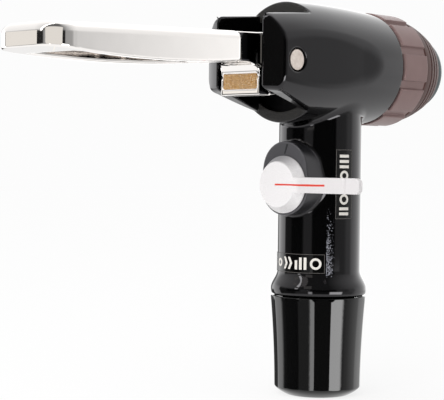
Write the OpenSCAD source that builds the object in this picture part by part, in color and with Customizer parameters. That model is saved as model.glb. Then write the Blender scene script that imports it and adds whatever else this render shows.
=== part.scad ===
// Portable tire inflator head: a cast body with a lever clevis, a selector, a tank coupling and a tire chuck.
// The handle tube stands on +Z, the lever reaches forward along -X and the tank coupling faces +X.
// The origin is the middle of the tire chuck's mouth.

/* [Handle tube] */
// Outer radius of the handle tube
tube_r = 16; // [15:0.5:18]
// Radius of the main air passage in the tube
air_bore_r = 10; // [8.5:0.5:10.5]
// Height where the wide part of the air passage ends
air_bore_top_z = 66; // [62:1:68]
// Radius of the narrow air way past the selector
air_way_r = 4; // [2.5:0.5:4]
// Radius of the flared ring at the foot of the tube
ring_r = 18.5; // [17.8:0.1:19]
// Height of the widest part of the flared ring
ring_z = 41; // [40.2:0.2:42]
// Height over which the flare runs out into the tube
flare_h = 7; // [4:0.2:10]

/* [Barrel] */
// Height of the barrel's axis
axis_z = 127; // [124:1:134]
// How far the barrel's largest radius stands out over the collar's lands
barrel_over = 0.8; // [0.3:0.1:2]
// Distance of the barrel's front face ahead of the tube's axis
barrel_front = 23.5; // [23:0.5:25]
// Distance of the barrel's rear face behind the tube's axis
barrel_rear = 24; // [23:0.5:27]
// Radius of the barrel's bore
bore_r = 18.47; // [17.5:0.01:19]
// Radius of the arc along which the body narrows toward the cheeks' front
crown_front_rho = 225; // [200:5:400]
// Radius of the arc along which the barrel narrows toward the rear
crown_rear_rho = 450; // [300:10:900]
// Chamfer on the barrel's rear rim
rim_chamfer = 1.2; // [0.4:0.1:1.8]

/* [Clevis] */
// Width of the slot between the two cheeks
slot_w = 21.9; // [21:0.1:23]
// Reach of the cheeks ahead of the tube's axis
cheek_reach = 46.5; // [45.5:0.5:48]
// Radius of the arc that rounds the cheeks' front faces in plan
cheek_nose_r = 37; // [34:0.5:46]
// Height of the cheeks' top edge above the barrel's axis at the front
cheek_top = 15.9; // [14.5:0.1:17]
// Height of the cheeks' lower front corner below the barrel's axis
cheek_drop = 11.2; // [10.5:0.1:12.5]
// Slope of the cheeks' lower edge in degrees
cheek_slope = 19; // [16:0.2:26]
// Distance of the flats on the cheeks from the middle, at the front
flat_y = 19; // [18.7:0.1:19.6]
// Angle at which the flats spread toward the rear, in degrees
flat_spread = 3.6; // [2:0.1:5]

/* [Lever] */
// Distance of the lever's pivot behind the cheeks' front
pivot_inset = 9.9; // [9:0.1:10.8]
// Height of the lever's pivot below the barrel's axis
pivot_drop = 0.6; // [0:0.1:1]
// Radius of the lever's pin
pin_r = 3.69; // [3:0.01:4]
// Length of the lever's pin
pin_len = 38.6; // [36:0.2:38.8]
// Reach of the lever from its pivot to its tip
lever_reach = 110.4; // [90:0.4:120]
// Half width of the lever at the tip
lever_tip_w = 15.8; // [13.5:0.1:17]
// Half width of the lever at the shoulder
lever_root_w = 12.9; // [12:0.1:14]
// Distance of the lever's shoulder from the pivot
shoulder = 20.2; // [19.6:0.1:24]
// Half width of the lever's neck
neck_w = 9.5; // [9:0.1:9.8]
// Depth of the reliefs on the neck's sides
neck_relief = 1.3; // [0.5:0.1:2]
// Height of the lever's back above the pivot
lever_top = 10.1; // [9:0.1:10.4]
// Angle at which the lever's back falls toward the tip, in degrees
lever_fall = 2.2; // [1:0.02:4]
// Depth of the lever's lower edge below the pivot, at its lowest
lever_belly = 3.5; // [2.6:0.1:4.5]
// Radius of the arc along the lever's lower edge
belly_rho = 500; // [400:10:900]
// Radius of the lever's upper edges
lever_edge_r = 3.4; // [1.5:0.1:3.6]
// Wall of the lever around its hollow underside
lever_wall = 3; // [2:0.1:4]

/* [Cam] */
// Distance from the pivot to the follower's face at rest
cam_near = 7.5; // [7:0.1:8]
// Rise of the cam for each radian that the lever turns
cam_rise = 3.3; // [2.5:0.05:3.4]
// Distance of the cam block's front face ahead of the pivot
cam_front = 9.5; // [8.5:0.1:10]
// Width of the brass pad in the cam block
pad_w = 16.6; // [12:0.2:17.6]
// Height of the brass pad
pad_h = 5.6; // [4:0.1:6.5]

/* [Plunger] */
// Length of the piston
piston_len = 9; // [8:0.5:9]
// Radius of the push pad ahead of the piston
pad_r = 8; // [7:0.1:9]
// Radius of the plunger's stem
stem_r = 3; // [2.4:0.1:3.4]
// Wire radius of the return spring
spring_wire_r = 0.9; // [0.6:0.05:1.1]
// Turns of the return spring
spring_turns = 4; // [3:1:4]

/* [Selector] */
// Height of the selector's axis
selector_z = 81.1; // [79:0.1:84]
// Distance of the boss's face ahead of the tube's axis
boss_face = 21; // [20:0.1:21.5]
// Radius of the boss around the knob
boss_r = 11.7; // [11.2:0.1:12.5]
// Radius of the boss's upper lobe
lobe_r = 10.8; // [9:0.1:11.2]
// Height of the upper lobe's middle above the selector's axis
lobe_rise = 5.6; // [4.5:0.1:7.5]
// Radius of the knob at its base
knob_r = 10.84; // [10:0.02:11]
// Radius of the knob's face
knob_face_r = 8.46; // [7.5:0.02:9.5]
// Height of the knob
knob_h = 4.2; // [4:0.1:5]
// Reach of the pointer arm from the selector's axis
arm_reach = 39.2; // [30:0.2:41]
// Width of the pointer arm
arm_w = 5.8; // [5:0.1:7]
// Thickness of the pointer arm
arm_t = 2.4; // [1.8:0.1:2.6]
// Radius of the selector's spindle
spindle_r = 5.5; // [5:0.1:6]
// Radius of the spindle's rear cap
spindle_cap_r = 5.8; // [5.7:0.1:6.4]

/* [Tank coupling] */
// Outer radius of the collar's lands
collar_r = 22.3; // [22:0.1:23]
// Length of the collar
collar_len = 29; // [28.5:0.5:31]
// Number of flutes around the collar
flutes = 10; // [6:1:12]
// Width of a flute
flute_w = 3.8; // [3:0.1:5]
// Depth of a flute
flute_d = 0.8; // [0.5:0.05:1]
// Length of the fluted part
flute_len = 13.4; // [11:0.2:14]
// Length of the collar's grip, ahead of its tail
grip_len = 15; // [14.2:0.1:17]
// Radius of the threaded hole for the tank's neck
tank_thread_r = 9.6; // [8.5:0.05:9.8]
// Thickness of the dark end ring
end_ring_t = 6.8; // [4:0.1:8]

/* [Tire chuck] */
// Radius of the chuck cap at the top
cap_top_r = 18.5; // [18:0.1:18.9]
// Radius of the chuck cap at the foot
cap_foot_r = 16.65; // [16.3:0.05:17]
// Height of the chuck cap
cap_h = 38.2; // [37.4:0.1:38.8]
// Number of flats around the chuck cap
cap_flats = 18; // [12:1:24]
// Depth of each flat at its middle
cap_flat_d = 0.22; // [0.1:0.02:0.3]
// Radius of the hole for the valve stem
valve_hole_r = 4.4; // [4:0.1:4.5]
// Thickness of the cap's floor
cap_floor = 4; // [3:0.1:4.4]
// Pitch of the thread that squeezes the grommet
cap_pitch = 1.5; // [0.5:0.1:1.6]
// Length of the rubber grommet
grommet_len = 9.8; // [8:0.1:9.8]

/* [Labels] */
// Height of the tank port's label
tank_label_h = 26.2; // [20:0.2:30]
// Width of the tank port's label around the tube
tank_label_w = 7.4; // [6:0.1:9]
// Height of the tire port's label
tire_label_h = 7.2; // [5:0.2:9]
// Width of the tire port's label around the tube
tire_label_w = 26.8; // [18:0.2:34]
// Thickness of a label
label_t = 0.12; // [0.05:0.01:0.2]

/* [Hidden] */
$fn = 96;

fit = 0.05;      // radial play of a running fit
play = 0.1;      // play beside a ring, a seal or a key
gap = 0.3;       // space between parts that pass each other
eps = 0.01;      // overshoot of a cut
big = 200;       // longer than anything that a cut goes through

barrel_r = collar_r + barrel_over;
barrel_len = barrel_front + barrel_rear;
pivot_x = cheek_reach - pivot_inset;
pivot_z = axis_z - pivot_drop;
slot_half = slot_w / 2;

// Radius of the cast barrel and cheeks at the place x along the axis.
crown_x = -9;
function barrel_r_at(x) =
    barrel_r - pow(x - crown_x, 2) / (2 * (x < crown_x ? crown_front_rho : crown_rear_rho));

// The follower's face at rest, and the plunger behind it.
follower_x = -pivot_x + cam_near + gap;
follower_t = 1.5;
follower_proud = 0.3;
pad_x = follower_x + follower_proud;
piston_x = -barrel_front + 3;
piston_end = piston_x + piston_len;
seal_w = 2.6;
seal_t = 2.5;
stem_len = 44.5;

// The bulkhead that closes the piston's bore.
bulkhead_x = 2;
bulkhead_t = 6;
guide_flange_t = 1.4;
guide_r = 5.5;
guide_pocket = 3.5;

// The tank seat, which carries the collar.
seat_len = 7;
spigot_r = 11.5;
spigot_len = 13;
spigot_end = barrel_rear + spigot_len;
seat_bore_r = 4.3;
gasket_r = 7;
gasket_t = 2.4;
filter_t = 2;
circlip_at = 8.3;
circlip_x = barrel_rear + circlip_at;
circlip_t = 1.2;
circlip_r = 13.9;

// The collar.
collar_gap = 0.5;
collar_x = barrel_rear + collar_gap;
collar_end = collar_x + collar_len;
bearing_len = 7.5;
cavity_r = 14.6;
lip_len = 2;
insert_x = spigot_end + 1;
end_hole_r = 11;

// The lever's outline, measured from the pivot.
tip_corner_r = 9.5;
root_corner_r = 3.5;
bush_wall = 1.6;
bush_r = pin_r + fit + bush_wall;
tip_solid = 12.5;
roof_t = 3.6;
pad_depth = 1.5;
cam_far = cam_near + cam_rise * PI / 2;
washer_r = 7.2;

// The chuck.
spigot_mouth_z = 22;
thread_r = 13.4;
cap_bore_r = 12.95;
cap_step_z = 20;
cap_rim_r = 12.3;
cap_rim_h = 3.4;
foot_gap = 0.7;
washer_t = 1;
grommet_z = cap_floor + washer_t + 2 * play;
sleeve_z = grommet_z + grommet_len + play;
sleeve_flange_t = 3;
sleeve_neck_top = 26.8;
snap_z = 33;
snap_t = 1.2;
carrier_z = 29;
carrier_t = 3;

// The check valve in the tube.
seat_t = 8;
check_seat_z = air_bore_top_z - seat_t;
poppet_r = 6;
poppet_t = 2.2;
retainer_z = 38;
retainer_t = 4;
check_hole_r = 3.5;
check_stem_r = 2;

// Puts what is drawn along +Z onto the barrel's axis, facing +X, with its zero at x.
module along_barrel(x = 0) {
    translate([x, 0, axis_z]) rotate([0, 90, 0]) children();
}

// Puts what is drawn along +Z onto the selector's axis, facing +X, with its zero at x.
module along_selector(x = 0) {
    translate([x, 0, selector_z]) rotate([0, 90, 0]) children();
}

// Puts an XZ outline, drawn about the pivot, upright with the thickness w across the lever.
module across_lever(w) {
    translate([-pivot_x, w / 2, pivot_z]) rotate([90, 0, 0]) linear_extrude(w) children();
}

// A straight ring or tube that stands on z = 0.
module ring(outer, inner, h) {
    difference() {
        cylinder(r = outer, h = h);
        translate([0, 0, -eps]) cylinder(r = inner, h = h + 2 * eps);
    }
}

// A ring of round section whose outer radius is outer.
module seal_ring(outer, section_r) {
    rotate_extrude() translate([outer - section_r, 0]) circle(r = section_r, $fn = 24);
}

// A spring of round wire between two heights, wound as one unbroken tube.
module coil(mean_r, wire_r, z0, z1, turns, sides = 6, per_turn = 12) {
    rings = turns * per_turn;
    climb = z1 - z0 - 2 * wire_r;
    points = [
        for (i = [0:rings], j = [0:sides - 1])
            let (a = i * 360 / per_turn, b = j * 360 / sides, r = mean_r + wire_r * cos(b))
                [r * cos(a), r * sin(a), z0 + wire_r + climb * i / rings + wire_r * sin(b)]
    ];
    walls = [
        for (i = [0:rings - 1], j = [0:sides - 1], k = [0, 1])
            let (p = i * sides + j, q = i * sides + (j + 1) % sides)
                k == 0 ? [p, q + sides, q] : [p, p + sides, q + sides]
    ];
    ends = [
        for (j = [1:sides - 2], k = [0, 1])
            let (base = rings * sides)
                k == 0 ? [0, j, j + 1] : [base, base + j + 1, base + j]
    ];
    polyhedron(points = points, faces = concat(walls, ends));
}

// ---- Cast body ----

// Outer form of the barrel and the two cheeks, as one crowned body of revolution.
module barrel_form() {
    x0 = -cheek_reach - 1;
    steps = 24;
    rim_wall = 0.8;
    rim_r = max(barrel_r_at(barrel_rear) - rim_chamfer, bore_r + rim_wall);
    span = barrel_rear - rim_chamfer - x0;
    side = [for (i = [0:steps]) let (x = x0 + span * i / steps) [barrel_r_at(x), x]];
    along_barrel() rotate_extrude()
        polygon(concat([[0, x0]], side, [[rim_r, barrel_rear], [0, barrel_rear]]));
}

// Side view of the cheeks: a falling top edge, a slanted lower edge and the whole barrel behind them.
module cheek_side() {
    top_fall = 1;
    low = -cheek_drop;
    rear_low = low - (cheek_reach - barrel_front - 2.5) * tan(cheek_slope);
    far = barrel_rear + 1;
    polygon([
        [-cheek_reach - 2, low], [-cheek_reach + 2.5, low], [-barrel_front, rear_low], [-barrel_front, -big],
        [far, -big], [far, big], [-barrel_front, big], [-barrel_front, cheek_top + top_fall * 2],
        [-cheek_reach - 2, cheek_top - top_fall * 0.1]
    ]);
}

// Plan of the body: the cheeks' rounded noses, and the flats that spread and run out toward the rear.
module body_plan() {
    run_out_r = 100;
    flat_end = -2;
    rise = tan(flat_spread);
    end_y = flat_y + (cheek_reach + flat_end) * rise;
    run = [for (x = [flat_end:2:barrel_rear + 2])
        [x, end_y + (x - flat_end) * rise + pow(x - flat_end, 2) / (2 * run_out_r)]];
    half = concat([[-cheek_reach - 2, flat_y - 2 * rise]], run);
    nose_x = -cheek_reach + sqrt(pow(cheek_nose_r, 2) - pow(slot_half, 2));
    intersection() {
        polygon(concat(half, [for (i = [len(half) - 1:-1:0]) [half[i][0], -half[i][1]]]));
        union() {
            translate([nose_x, 0]) circle(r = cheek_nose_r);
            translate([-barrel_front, -big / 2]) square([big, big]);
        }
    }
}

// The tube with its flared ring, and the threaded spigot under it.
module tube_form() {
    steps = 12;
    shoulder_r = ring_r - 0.6;
    land_r = ring_r - 1.3;
    land_z = cap_h + play;
    foot_z = cap_h + foot_gap;
    flare = [for (i = [0:steps]) let (t = i / steps)
        [tube_r + (ring_r - tube_r) * (1 + cos(180 * t)) / 2, ring_z + flare_h * t]];
    lower = [for (i = [0:4]) let (a = 90 * i / 4)
        [shoulder_r + (ring_r - shoulder_r) * sin(a), ring_z - (ring_z - foot_z) * cos(a)]];
    rotate_extrude() polygon(concat(
        [[0, spigot_mouth_z], [thread_r, spigot_mouth_z], [thread_r, land_z], [land_r, land_z], [land_r, foot_z]],
        lower, flare, [[tube_r, axis_z], [0, axis_z]]
    ));
}

// Oval outline of the selector's boss: a large circle, a smaller one above it, and their common tangents.
module boss_outline() {
    phi = asin((boss_r - lobe_r) / lobe_rise);
    right = [[boss_r * cos(phi), boss_r * sin(phi)], [lobe_r * cos(phi), lobe_rise + lobe_r * sin(phi)]];
    circle(r = boss_r);
    translate([0, lobe_rise]) circle(r = lobe_r);
    polygon([right[0], right[1], [-right[1][0], right[1][1]], [-right[0][0], right[0][1]]]);
}

module selector_boss() {
    translate([-boss_face, 0, selector_z]) rotate([90, 0, 90]) linear_extrude(boss_face) boss_outline();
}

// Everything that is drilled or bored in the casting.
module housing_cuts() {
    recess_r = pin_r + 0.7;
    recess_z = pin_len / 2 - 0.6;
    way_floor = 8;
    way_top_z = axis_z - bore_r - way_floor;
    slant_r = air_way_r - 1.5;
    slant_x = 14;
    slant_len = 22;
    snap_depth = 0.8;
    along_barrel(-barrel_front) translate([0, 0, -eps]) cylinder(r = bore_r, h = barrel_len + 2 * eps);
    translate([-cheek_reach - big, -slot_half, 0]) cube([big + cheek_reach - barrel_front, slot_w, big]);
    translate([-pivot_x, 0, pivot_z]) rotate([90, 0, 0]) {
        translate([0, 0, -big / 2]) cylinder(r = pin_r + fit, h = big);
        for (s = [0, 1]) mirror([0, 0, s]) translate([0, 0, recess_z]) cylinder(r = recess_r, h = big);
    }
    translate([0, 0, spigot_mouth_z - eps]) cylinder(r = air_bore_r, h = air_bore_top_z - spigot_mouth_z);
    cylinder(r = air_way_r, h = way_top_z);
    translate([slant_x, 0, axis_z - bore_r + 1.5]) rotate([0, 225, 0]) cylinder(r = slant_r, h = slant_len);
    along_selector(-boss_face - eps) cylinder(r = spindle_r + fit, h = big);
    along_selector(spot_face_x) cylinder(r = spindle_cap_r + gap, h = big);
    translate([-boss_face - eps, 0, selector_z]) rotate([0, 90, 0]) stop_pin_place() cylinder(r = stop_r, h = 4);
    translate([0, 0, snap_z - play / 2]) ring(thread_r + 1, thread_r - snap_depth, snap_t + play);
    key_slots(key_w + 2 * fit, squeeze + key_hold + 1.3, sleeve_key_r + play, spigot_mouth_z - eps);
}

module housing() {
    color("#17181a") difference() {
        union() {
            intersection() {
                barrel_form();
                translate([0, 0, axis_z - big / 2]) linear_extrude(big) body_plan();
                translate([0, big / 2, axis_z]) rotate([90, 0, 0]) linear_extrude(big) cheek_side();
            }
            difference() {
                union() {
                    tube_form();
                    selector_boss();
                }
                along_barrel(-big / 2) cylinder(r = bore_r + 1, h = big);
            }
        }
        housing_cuts();
    }
}

// ---- Lever ----

// One rounded corner of the lever's blade: a post with a rolled upper edge, whose top is at z = 0.
module blade_post(r, t) {
    steps = 4;
    roll = [for (i = [0:steps]) let (a = 90 * i / steps)
        [r - lever_edge_r * (1 - cos(a)), -lever_edge_r * (1 - sin(a))]];
    rotate_extrude($fn = 32) polygon(concat([[0, -t], [r, -t]], roll, [[0, 0]]));
}

// The blade between the shoulder and the tip, hollow underneath.
module blade() {
    tip_x = -(lever_reach - tip_corner_r);
    root_x = -(shoulder + root_corner_r);
    tip_top = lever_top - (lever_reach - tip_corner_r) * tan(lever_fall);
    root_top = lever_top - (shoulder + root_corner_r) * tan(lever_fall);
    tip_y = lever_tip_w - tip_corner_r;
    root_y = lever_root_w - root_corner_r;
    foot = -lever_belly - 1;
    belly_x = -(shoulder + lever_reach) / 2 - 4;
    pocket_tip = -(lever_reach - tip_solid);
    pocket_root = -(shoulder + lever_wall + 2);
    root_in = lever_root_w - lever_wall;
    tip_in = lever_tip_w - lever_wall - 0.4;
    difference() {
        intersection() {
            hull() {
                for (s = [-1, 1]) {
                    translate([tip_x, s * tip_y, tip_top]) blade_post(tip_corner_r, tip_top - foot);
                    translate([root_x, s * root_y, root_top]) blade_post(root_corner_r, root_top - foot);
                }
            }
            translate([belly_x, big / 2, belly_rho - lever_belly]) rotate([90, 0, 0])
                cylinder(r = belly_rho, h = big, $fn = 720);
        }
        intersection() {
            translate([0, 0, -big / 2]) linear_extrude(big) polygon([
                [pocket_root, -root_in], [pocket_root, root_in], [pocket_tip, tip_in], [pocket_tip, -tip_in]
            ]);
            translate([0, big / 2, 0]) rotate([90, 0, 0]) linear_extrude(big) polygon([
                [0, -big], [0, lever_top - roof_t],
                [-big, lever_top - roof_t - big * tan(lever_fall)], [-big, -big]
            ]);
        }
    }
}

// Side view of the neck and the cam. The cam's face is an involute: it moves the follower evenly.
module cam_outline() {
    heel_r = lever_top;
    heel_x = cam_near - heel_r;
    under = -1.2;
    fillet_r = 4.2;
    inner_x = -cam_front - fillet_r;
    neck_end = -shoulder - 2;
    heel = [for (i = [0:8]) let (a = 90 - 90 * i / 8) [heel_x + heel_r * cos(a), heel_r * sin(a)]];
    face = [for (i = [0:12]) let (a = 90 * i / 12, h = cam_near + cam_rise * a * PI / 180)
        [h * cos(a) - cam_rise * sin(a), -h * sin(a) - cam_rise * cos(a)]];
    fillet = [for (i = [0:6]) let (a = 90 * i / 6)
        [inner_x + fillet_r * cos(a), under - fillet_r + fillet_r * sin(a)]];
    polygon(concat(
        [[neck_end, lever_top - shoulder * tan(lever_fall)]], heel, face,
        [[-cam_front, -cam_far]], fillet, [[neck_end, under]]
    ));
}

// Reliefs on both sides of the neck, above the cam block and ahead of the washers.
module neck_reliefs() {
    foot = -2.5;
    hub = washer_r + gap;
    for (s = [0, 1]) mirror([0, s, 0]) translate([-shoulder, neck_w - neck_relief, foot])
        cube([shoulder - hub, neck_relief + 1, lever_top - foot + 1]);
}

module lever() {
    color("#c9ccd1") difference() {
        union() {
            translate([-pivot_x, 0, pivot_z]) blade();
            across_lever(2 * neck_w) cam_outline();
        }
        translate([-pivot_x, 0, pivot_z]) {
            rotate([90, 0, 0]) translate([0, 0, -big / 2]) cylinder(r = bush_r + play / 2, h = big);
            translate([-cam_front - pad_proud - gap, -pad_w / 2 - fit, pad_low - fit])
                cube([pad_depth + pad_proud + gap, pad_w + 2 * fit, pad_h + 2 * fit]);
            neck_reliefs();
        }
    }
}

pad_low = -cam_far + 2.2;
pad_proud = 0.15;

// Bearing bush pressed into the lever's cam.
module lever_bush() {
    color("#b08d57") translate([-pivot_x, neck_w, pivot_z]) rotate([90, 0, 0])
        ring(bush_r, pin_r + fit, 2 * neck_w);
}

// Brass wear pad let into the front of the cam block.
module lever_pad() {
    color("#a98a45") translate([-pivot_x - cam_front - pad_proud, -pad_w / 2, pivot_z + pad_low])
        cube([pad_depth + pad_proud - fit, pad_w, pad_h]);
}

module lever_pin() {
    color("#b9b1a6") translate([-pivot_x, pin_len / 2, pivot_z]) rotate([90, 0, 0])
        cylinder(r = pin_r, h = pin_len);
}

// One nylon washer each side of the lever's neck.
module lever_washers() {
    t = slot_half - neck_w - 2 * play;
    for (s = [0, 1])
        color("#dcdcd4") translate([-pivot_x, 0, pivot_z]) mirror([0, s, 0]) translate([0, slot_half - play, 0])
            rotate([90, 0, 0]) ring(washer_r, pin_r + play, t);
}

// ---- Plunger in the barrel ----

module plunger() {
    groove_x = piston_x + (piston_len - seal_w) / 2;
    piston_r = bore_r - fit;
    groove_r = piston_r - seal_t;
    stem_end = piston_end + stem_len;
    color("#a7a9ac") difference() {
        along_barrel() rotate_extrude() polygon([
            [0, pad_x], [pad_r, pad_x], [pad_r, piston_x], [piston_r, piston_x], [piston_r, groove_x],
            [groove_r, groove_x], [groove_r, groove_x + seal_w], [piston_r, groove_x + seal_w],
            [piston_r, piston_end], [stem_r, piston_end], [stem_r, stem_end - 1], [stem_r - 1, stem_end],
            [0, stem_end]
        ]);
        along_barrel(pad_x - eps) cylinder(r = pad_r - 0.4 + fit, h = follower_t - follower_proud + eps);
    }
}

// Hardened disc that the cam pushes on.
module cam_follower() {
    color("#8f9296") along_barrel(follower_x) cylinder(r = pad_r - 0.4, h = follower_t);
}

module plunger_seal() {
    section = seal_w / 2 - play / 2;
    color("#101010") along_barrel(piston_x + piston_len / 2) seal_ring(bore_r - fit - play / 2, section - 0.05);
}

module return_spring() {
    mean_r = (bore_r + stem_r) / 2 - 1.5;
    color("#9a9da1") along_barrel()
        coil(mean_r, spring_wire_r, piston_end + play, bulkhead_x - play, spring_turns);
}

// Disc screwed into the barrel behind the piston. It carries the stem's seal and guide.
module bulkhead() {
    color("#8a8c90") along_barrel(bulkhead_x) difference() {
        cylinder(r = bore_r - fit, h = bulkhead_t);
        translate([0, 0, -eps]) cylinder(r = stem_r + fit, h = bulkhead_t + 1);
        translate([0, 0, bulkhead_t - guide_pocket]) cylinder(r = guide_r + fit, h = bulkhead_t);
    }
}

module stem_seal() {
    section = (guide_r - stem_r) / 2 - 0.08;
    color("#121212") along_barrel(bulkhead_x + bulkhead_t - guide_pocket + section + play)
        seal_ring(guide_r - 0.04, section);
}

module stem_guide() {
    plug = 0.9;
    color("#b08d57") along_barrel(bulkhead_x + bulkhead_t - plug) difference() {
        union() {
            cylinder(r = guide_r, h = plug);
            translate([0, 0, plug]) cylinder(r = guide_r + 2.5, h = guide_flange_t);
        }
        translate([0, 0, -eps]) cylinder(r = stem_r + fit, h = plug + guide_flange_t + 1);
    }
}

// ---- Tank coupling ----

// Stepped seat screwed into the barrel's rear, with the spigot on which the collar turns.
module tank_seat() {
    seat_x = barrel_rear - seat_len;
    gasket_x = spigot_end - gasket_t + 0.4;
    color("#b59a5b") difference() {
        along_barrel() rotate_extrude() polygon([
            [seat_bore_r, seat_x], [bore_r - fit, seat_x], [bore_r - fit, barrel_rear], [spigot_r, barrel_rear],
            [spigot_r, circlip_x - play / 2], [spigot_r - 1.2, circlip_x - play / 2],
            [spigot_r - 1.2, circlip_x + circlip_t + play / 2], [spigot_r, circlip_x + circlip_t + play / 2],
            [spigot_r, spigot_end - 0.5], [spigot_r - 0.5, spigot_end], [gasket_r + fit, spigot_end],
            [gasket_r + fit, gasket_x], [seat_bore_r, gasket_x]
        ]);
        along_barrel(seat_x - eps) cylinder(r = filter_r + fit, h = filter_t + play);
    }
}

filter_r = 9;

// Sintered filter ring at the seat's inlet to the chamber.
module tank_filter() {
    color("#8c7f62") along_barrel(barrel_rear - seat_len) ring(filter_r, stem_r + 0.6, filter_t);
}

module tank_gasket() {
    color("#151515") along_barrel(spigot_end - gasket_t + 0.4) ring(gasket_r, seat_bore_r + 0.3, gasket_t);
}

// Turning collar: a fluted grip, then a tapered tail with three fine grooves.
module collar() {
    edge = 0.7;
    shoulder_x = collar_x + grip_len;
    crown_at = 8;
    tail_r = 17.4;
    tail_len = collar_end - shoulder_x;
    steps = 14;
    fine = [0.34, 0.55, 0.77];
    fine_d = 0.3;
    fine_half = 0.5;
    bend = 1.5;
    tail_top = collar_r - 0.9;
    function tail_at(t) = tail_top - (tail_top - tail_r) * pow(t, bend);
    tail = [for (i = [0:steps]) let (t = i / steps) [tail_at(t), shoulder_x + tail_len * t]];
    side_slope = 0.6;
    over = 2;
    floor_y = flute_w / 2 - flute_d * side_slope;
    brim_y = flute_w / 2 + over * side_slope;
    color("#a07f80") difference() {
        along_barrel() rotate_extrude() polygon(concat(
            [[spigot_r + fit, collar_x], [collar_r - edge, collar_x], [collar_r - 0.1, collar_x + edge],
             [collar_r + 0.1, collar_x + crown_at], [collar_r, shoulder_x - 0.5]],
            tail,
            [[cavity_r, collar_end], [cavity_r, collar_x + bearing_len], [spigot_r + fit, collar_x + bearing_len]]
        ));
        for (i = [0:flutes - 1]) along_barrel(collar_x - 1) rotate([0, 0, flute_turn + i * 360 / flutes])
            linear_extrude(1 + flute_len) polygon([
                [collar_r - flute_d, -floor_y], [collar_r + over, -brim_y],
                [collar_r + over, brim_y], [collar_r - flute_d, floor_y]
            ]);
        for (t = fine) along_barrel(shoulder_x + tail_len * t - fine_half)
            ring(collar_r + 2, tail_at(t) - fine_d, 2 * fine_half);
    }
}

flute_turn = 72;

// Brass bush with the thread for the tank's neck.
module collar_insert() {
    color("#b59a5b") along_barrel(insert_x)
        ring(cavity_r - fit, tank_thread_r, collar_end - lip_len - play - insert_x);
}

// Dark end ring, snapped into the collar's mouth.
module collar_end_ring() {
    top_r = 15.7;
    nose_r = 13.4;
    steps = 5;
    roll = [for (i = [0:steps]) let (a = 90 * i / steps)
        [nose_r + (top_r - nose_r) * cos(a), collar_end + play + 0.6 + (end_ring_t - 0.6) * sin(a)]];
    color("#141b1d") along_barrel() rotate_extrude() polygon(concat(
        [[end_hole_r, collar_end - lip_len], [cavity_r - fit, collar_end - lip_len],
         [cavity_r - fit, collar_end + play], [top_r, collar_end + play]],
        roll,
        [[end_hole_r, collar_end + play + end_ring_t]]
    ));
}

module collar_retaining_ring() {
    color("#7d8085") along_barrel(circlip_x) ring(circlip_r, spigot_r - 1.1, circlip_t);
}

// ---- Selector ----

stop_r = 1.2;
stop_at = 7.6;
stop_travel = 90;
square_w = 6;
square_len = 1.5;
knob_gap = 0.2;
knob_x = -boss_face - knob_gap;
arm_x = knob_x - knob_h;
spot_face_x = tube_r - 1.4;
spindle_end = spot_face_x - gap;
seal_at = [air_way_r + 3.5, air_way_r + 8];
spindle_neck_r = 2.5;
spindle_neck_len = 3;

// The stop pin stands beside the spindle, above the axis and away from the arm.
module stop_pin_place() {
    rotate([0, 0, 45]) translate([-stop_at, 0, 0]) children();
}

module selector_spindle() {
    groove_r = spindle_r - 1.3;
    groove_w = 1.9;
    cross_r = air_way_r - 0.8;
    color("#b59a5b") difference() {
        union() {
            along_selector(-boss_face) cylinder(r = spindle_r, h = boss_face + spindle_end);
            translate([-boss_face - knob_gap - square_len, -square_w / 2, selector_z - square_w / 2])
                cube([square_len + knob_gap + eps, square_w, square_w]);
            along_selector(spindle_end - eps) cylinder(r = spindle_neck_r, h = spindle_neck_len);
        }
        translate([0, 0, selector_z - spindle_r - 1]) cylinder(r = cross_r, h = 2 * spindle_r + 2);
        for (x = seal_at, s = [-1, 1]) along_selector(s * x - groove_w / 2)
            ring(spindle_r + 1, groove_r, groove_w);
    }
}

// Two sealing rings in front of the cross hole and two behind it.
module selector_seals() {
    section = 0.62;
    for (x = seal_at, s = [-1, 1]) color("#121212") along_selector(s * x) seal_ring(spindle_r - 2 * eps, section);
}

module selector_knob() {
    edge = 0.5;
    slot_start = 2.6;
    color("#d4d4d2") difference() {
        along_selector() rotate_extrude() polygon([
            [0, arm_x], [knob_face_r - edge, arm_x], [knob_face_r + 0.2, arm_x + edge],
            [knob_r, knob_x - 0.4], [knob_r, knob_x], [0, knob_x]
        ]);
        translate([arm_x - eps, -big, selector_z - arm_w / 2 - fit])
            cube([arm_t + fit + eps, big + slot_start + fit, arm_w + 2 * fit]);
        translate([knob_x - square_len - fit, -square_w / 2 - fit, selector_z - square_w / 2 - fit])
            cube([square_len + 1, square_w + 2 * fit, square_w + 2 * fit]);
        along_selector(knob_x - 1.1) intersection() {
            ring(stop_at + stop_r + 0.25, stop_at - stop_r - 0.25, 2);
            stop_sector();
        }
    }
}

// The sector of the stop's slot. It opens the quarter turn that the knob makes.
module stop_sector() {
    pad = 12;
    a0 = 225 - stop_travel - pad;
    a1 = 225 + pad;
    r = 20;
    translate([0, 0, -1]) linear_extrude(5) polygon(concat(
        [[0, 0]], [for (i = [0:6]) let (a = a0 + (a1 - a0) * i / 6) [r * cos(a), r * sin(a)]]
    ));
}

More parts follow.
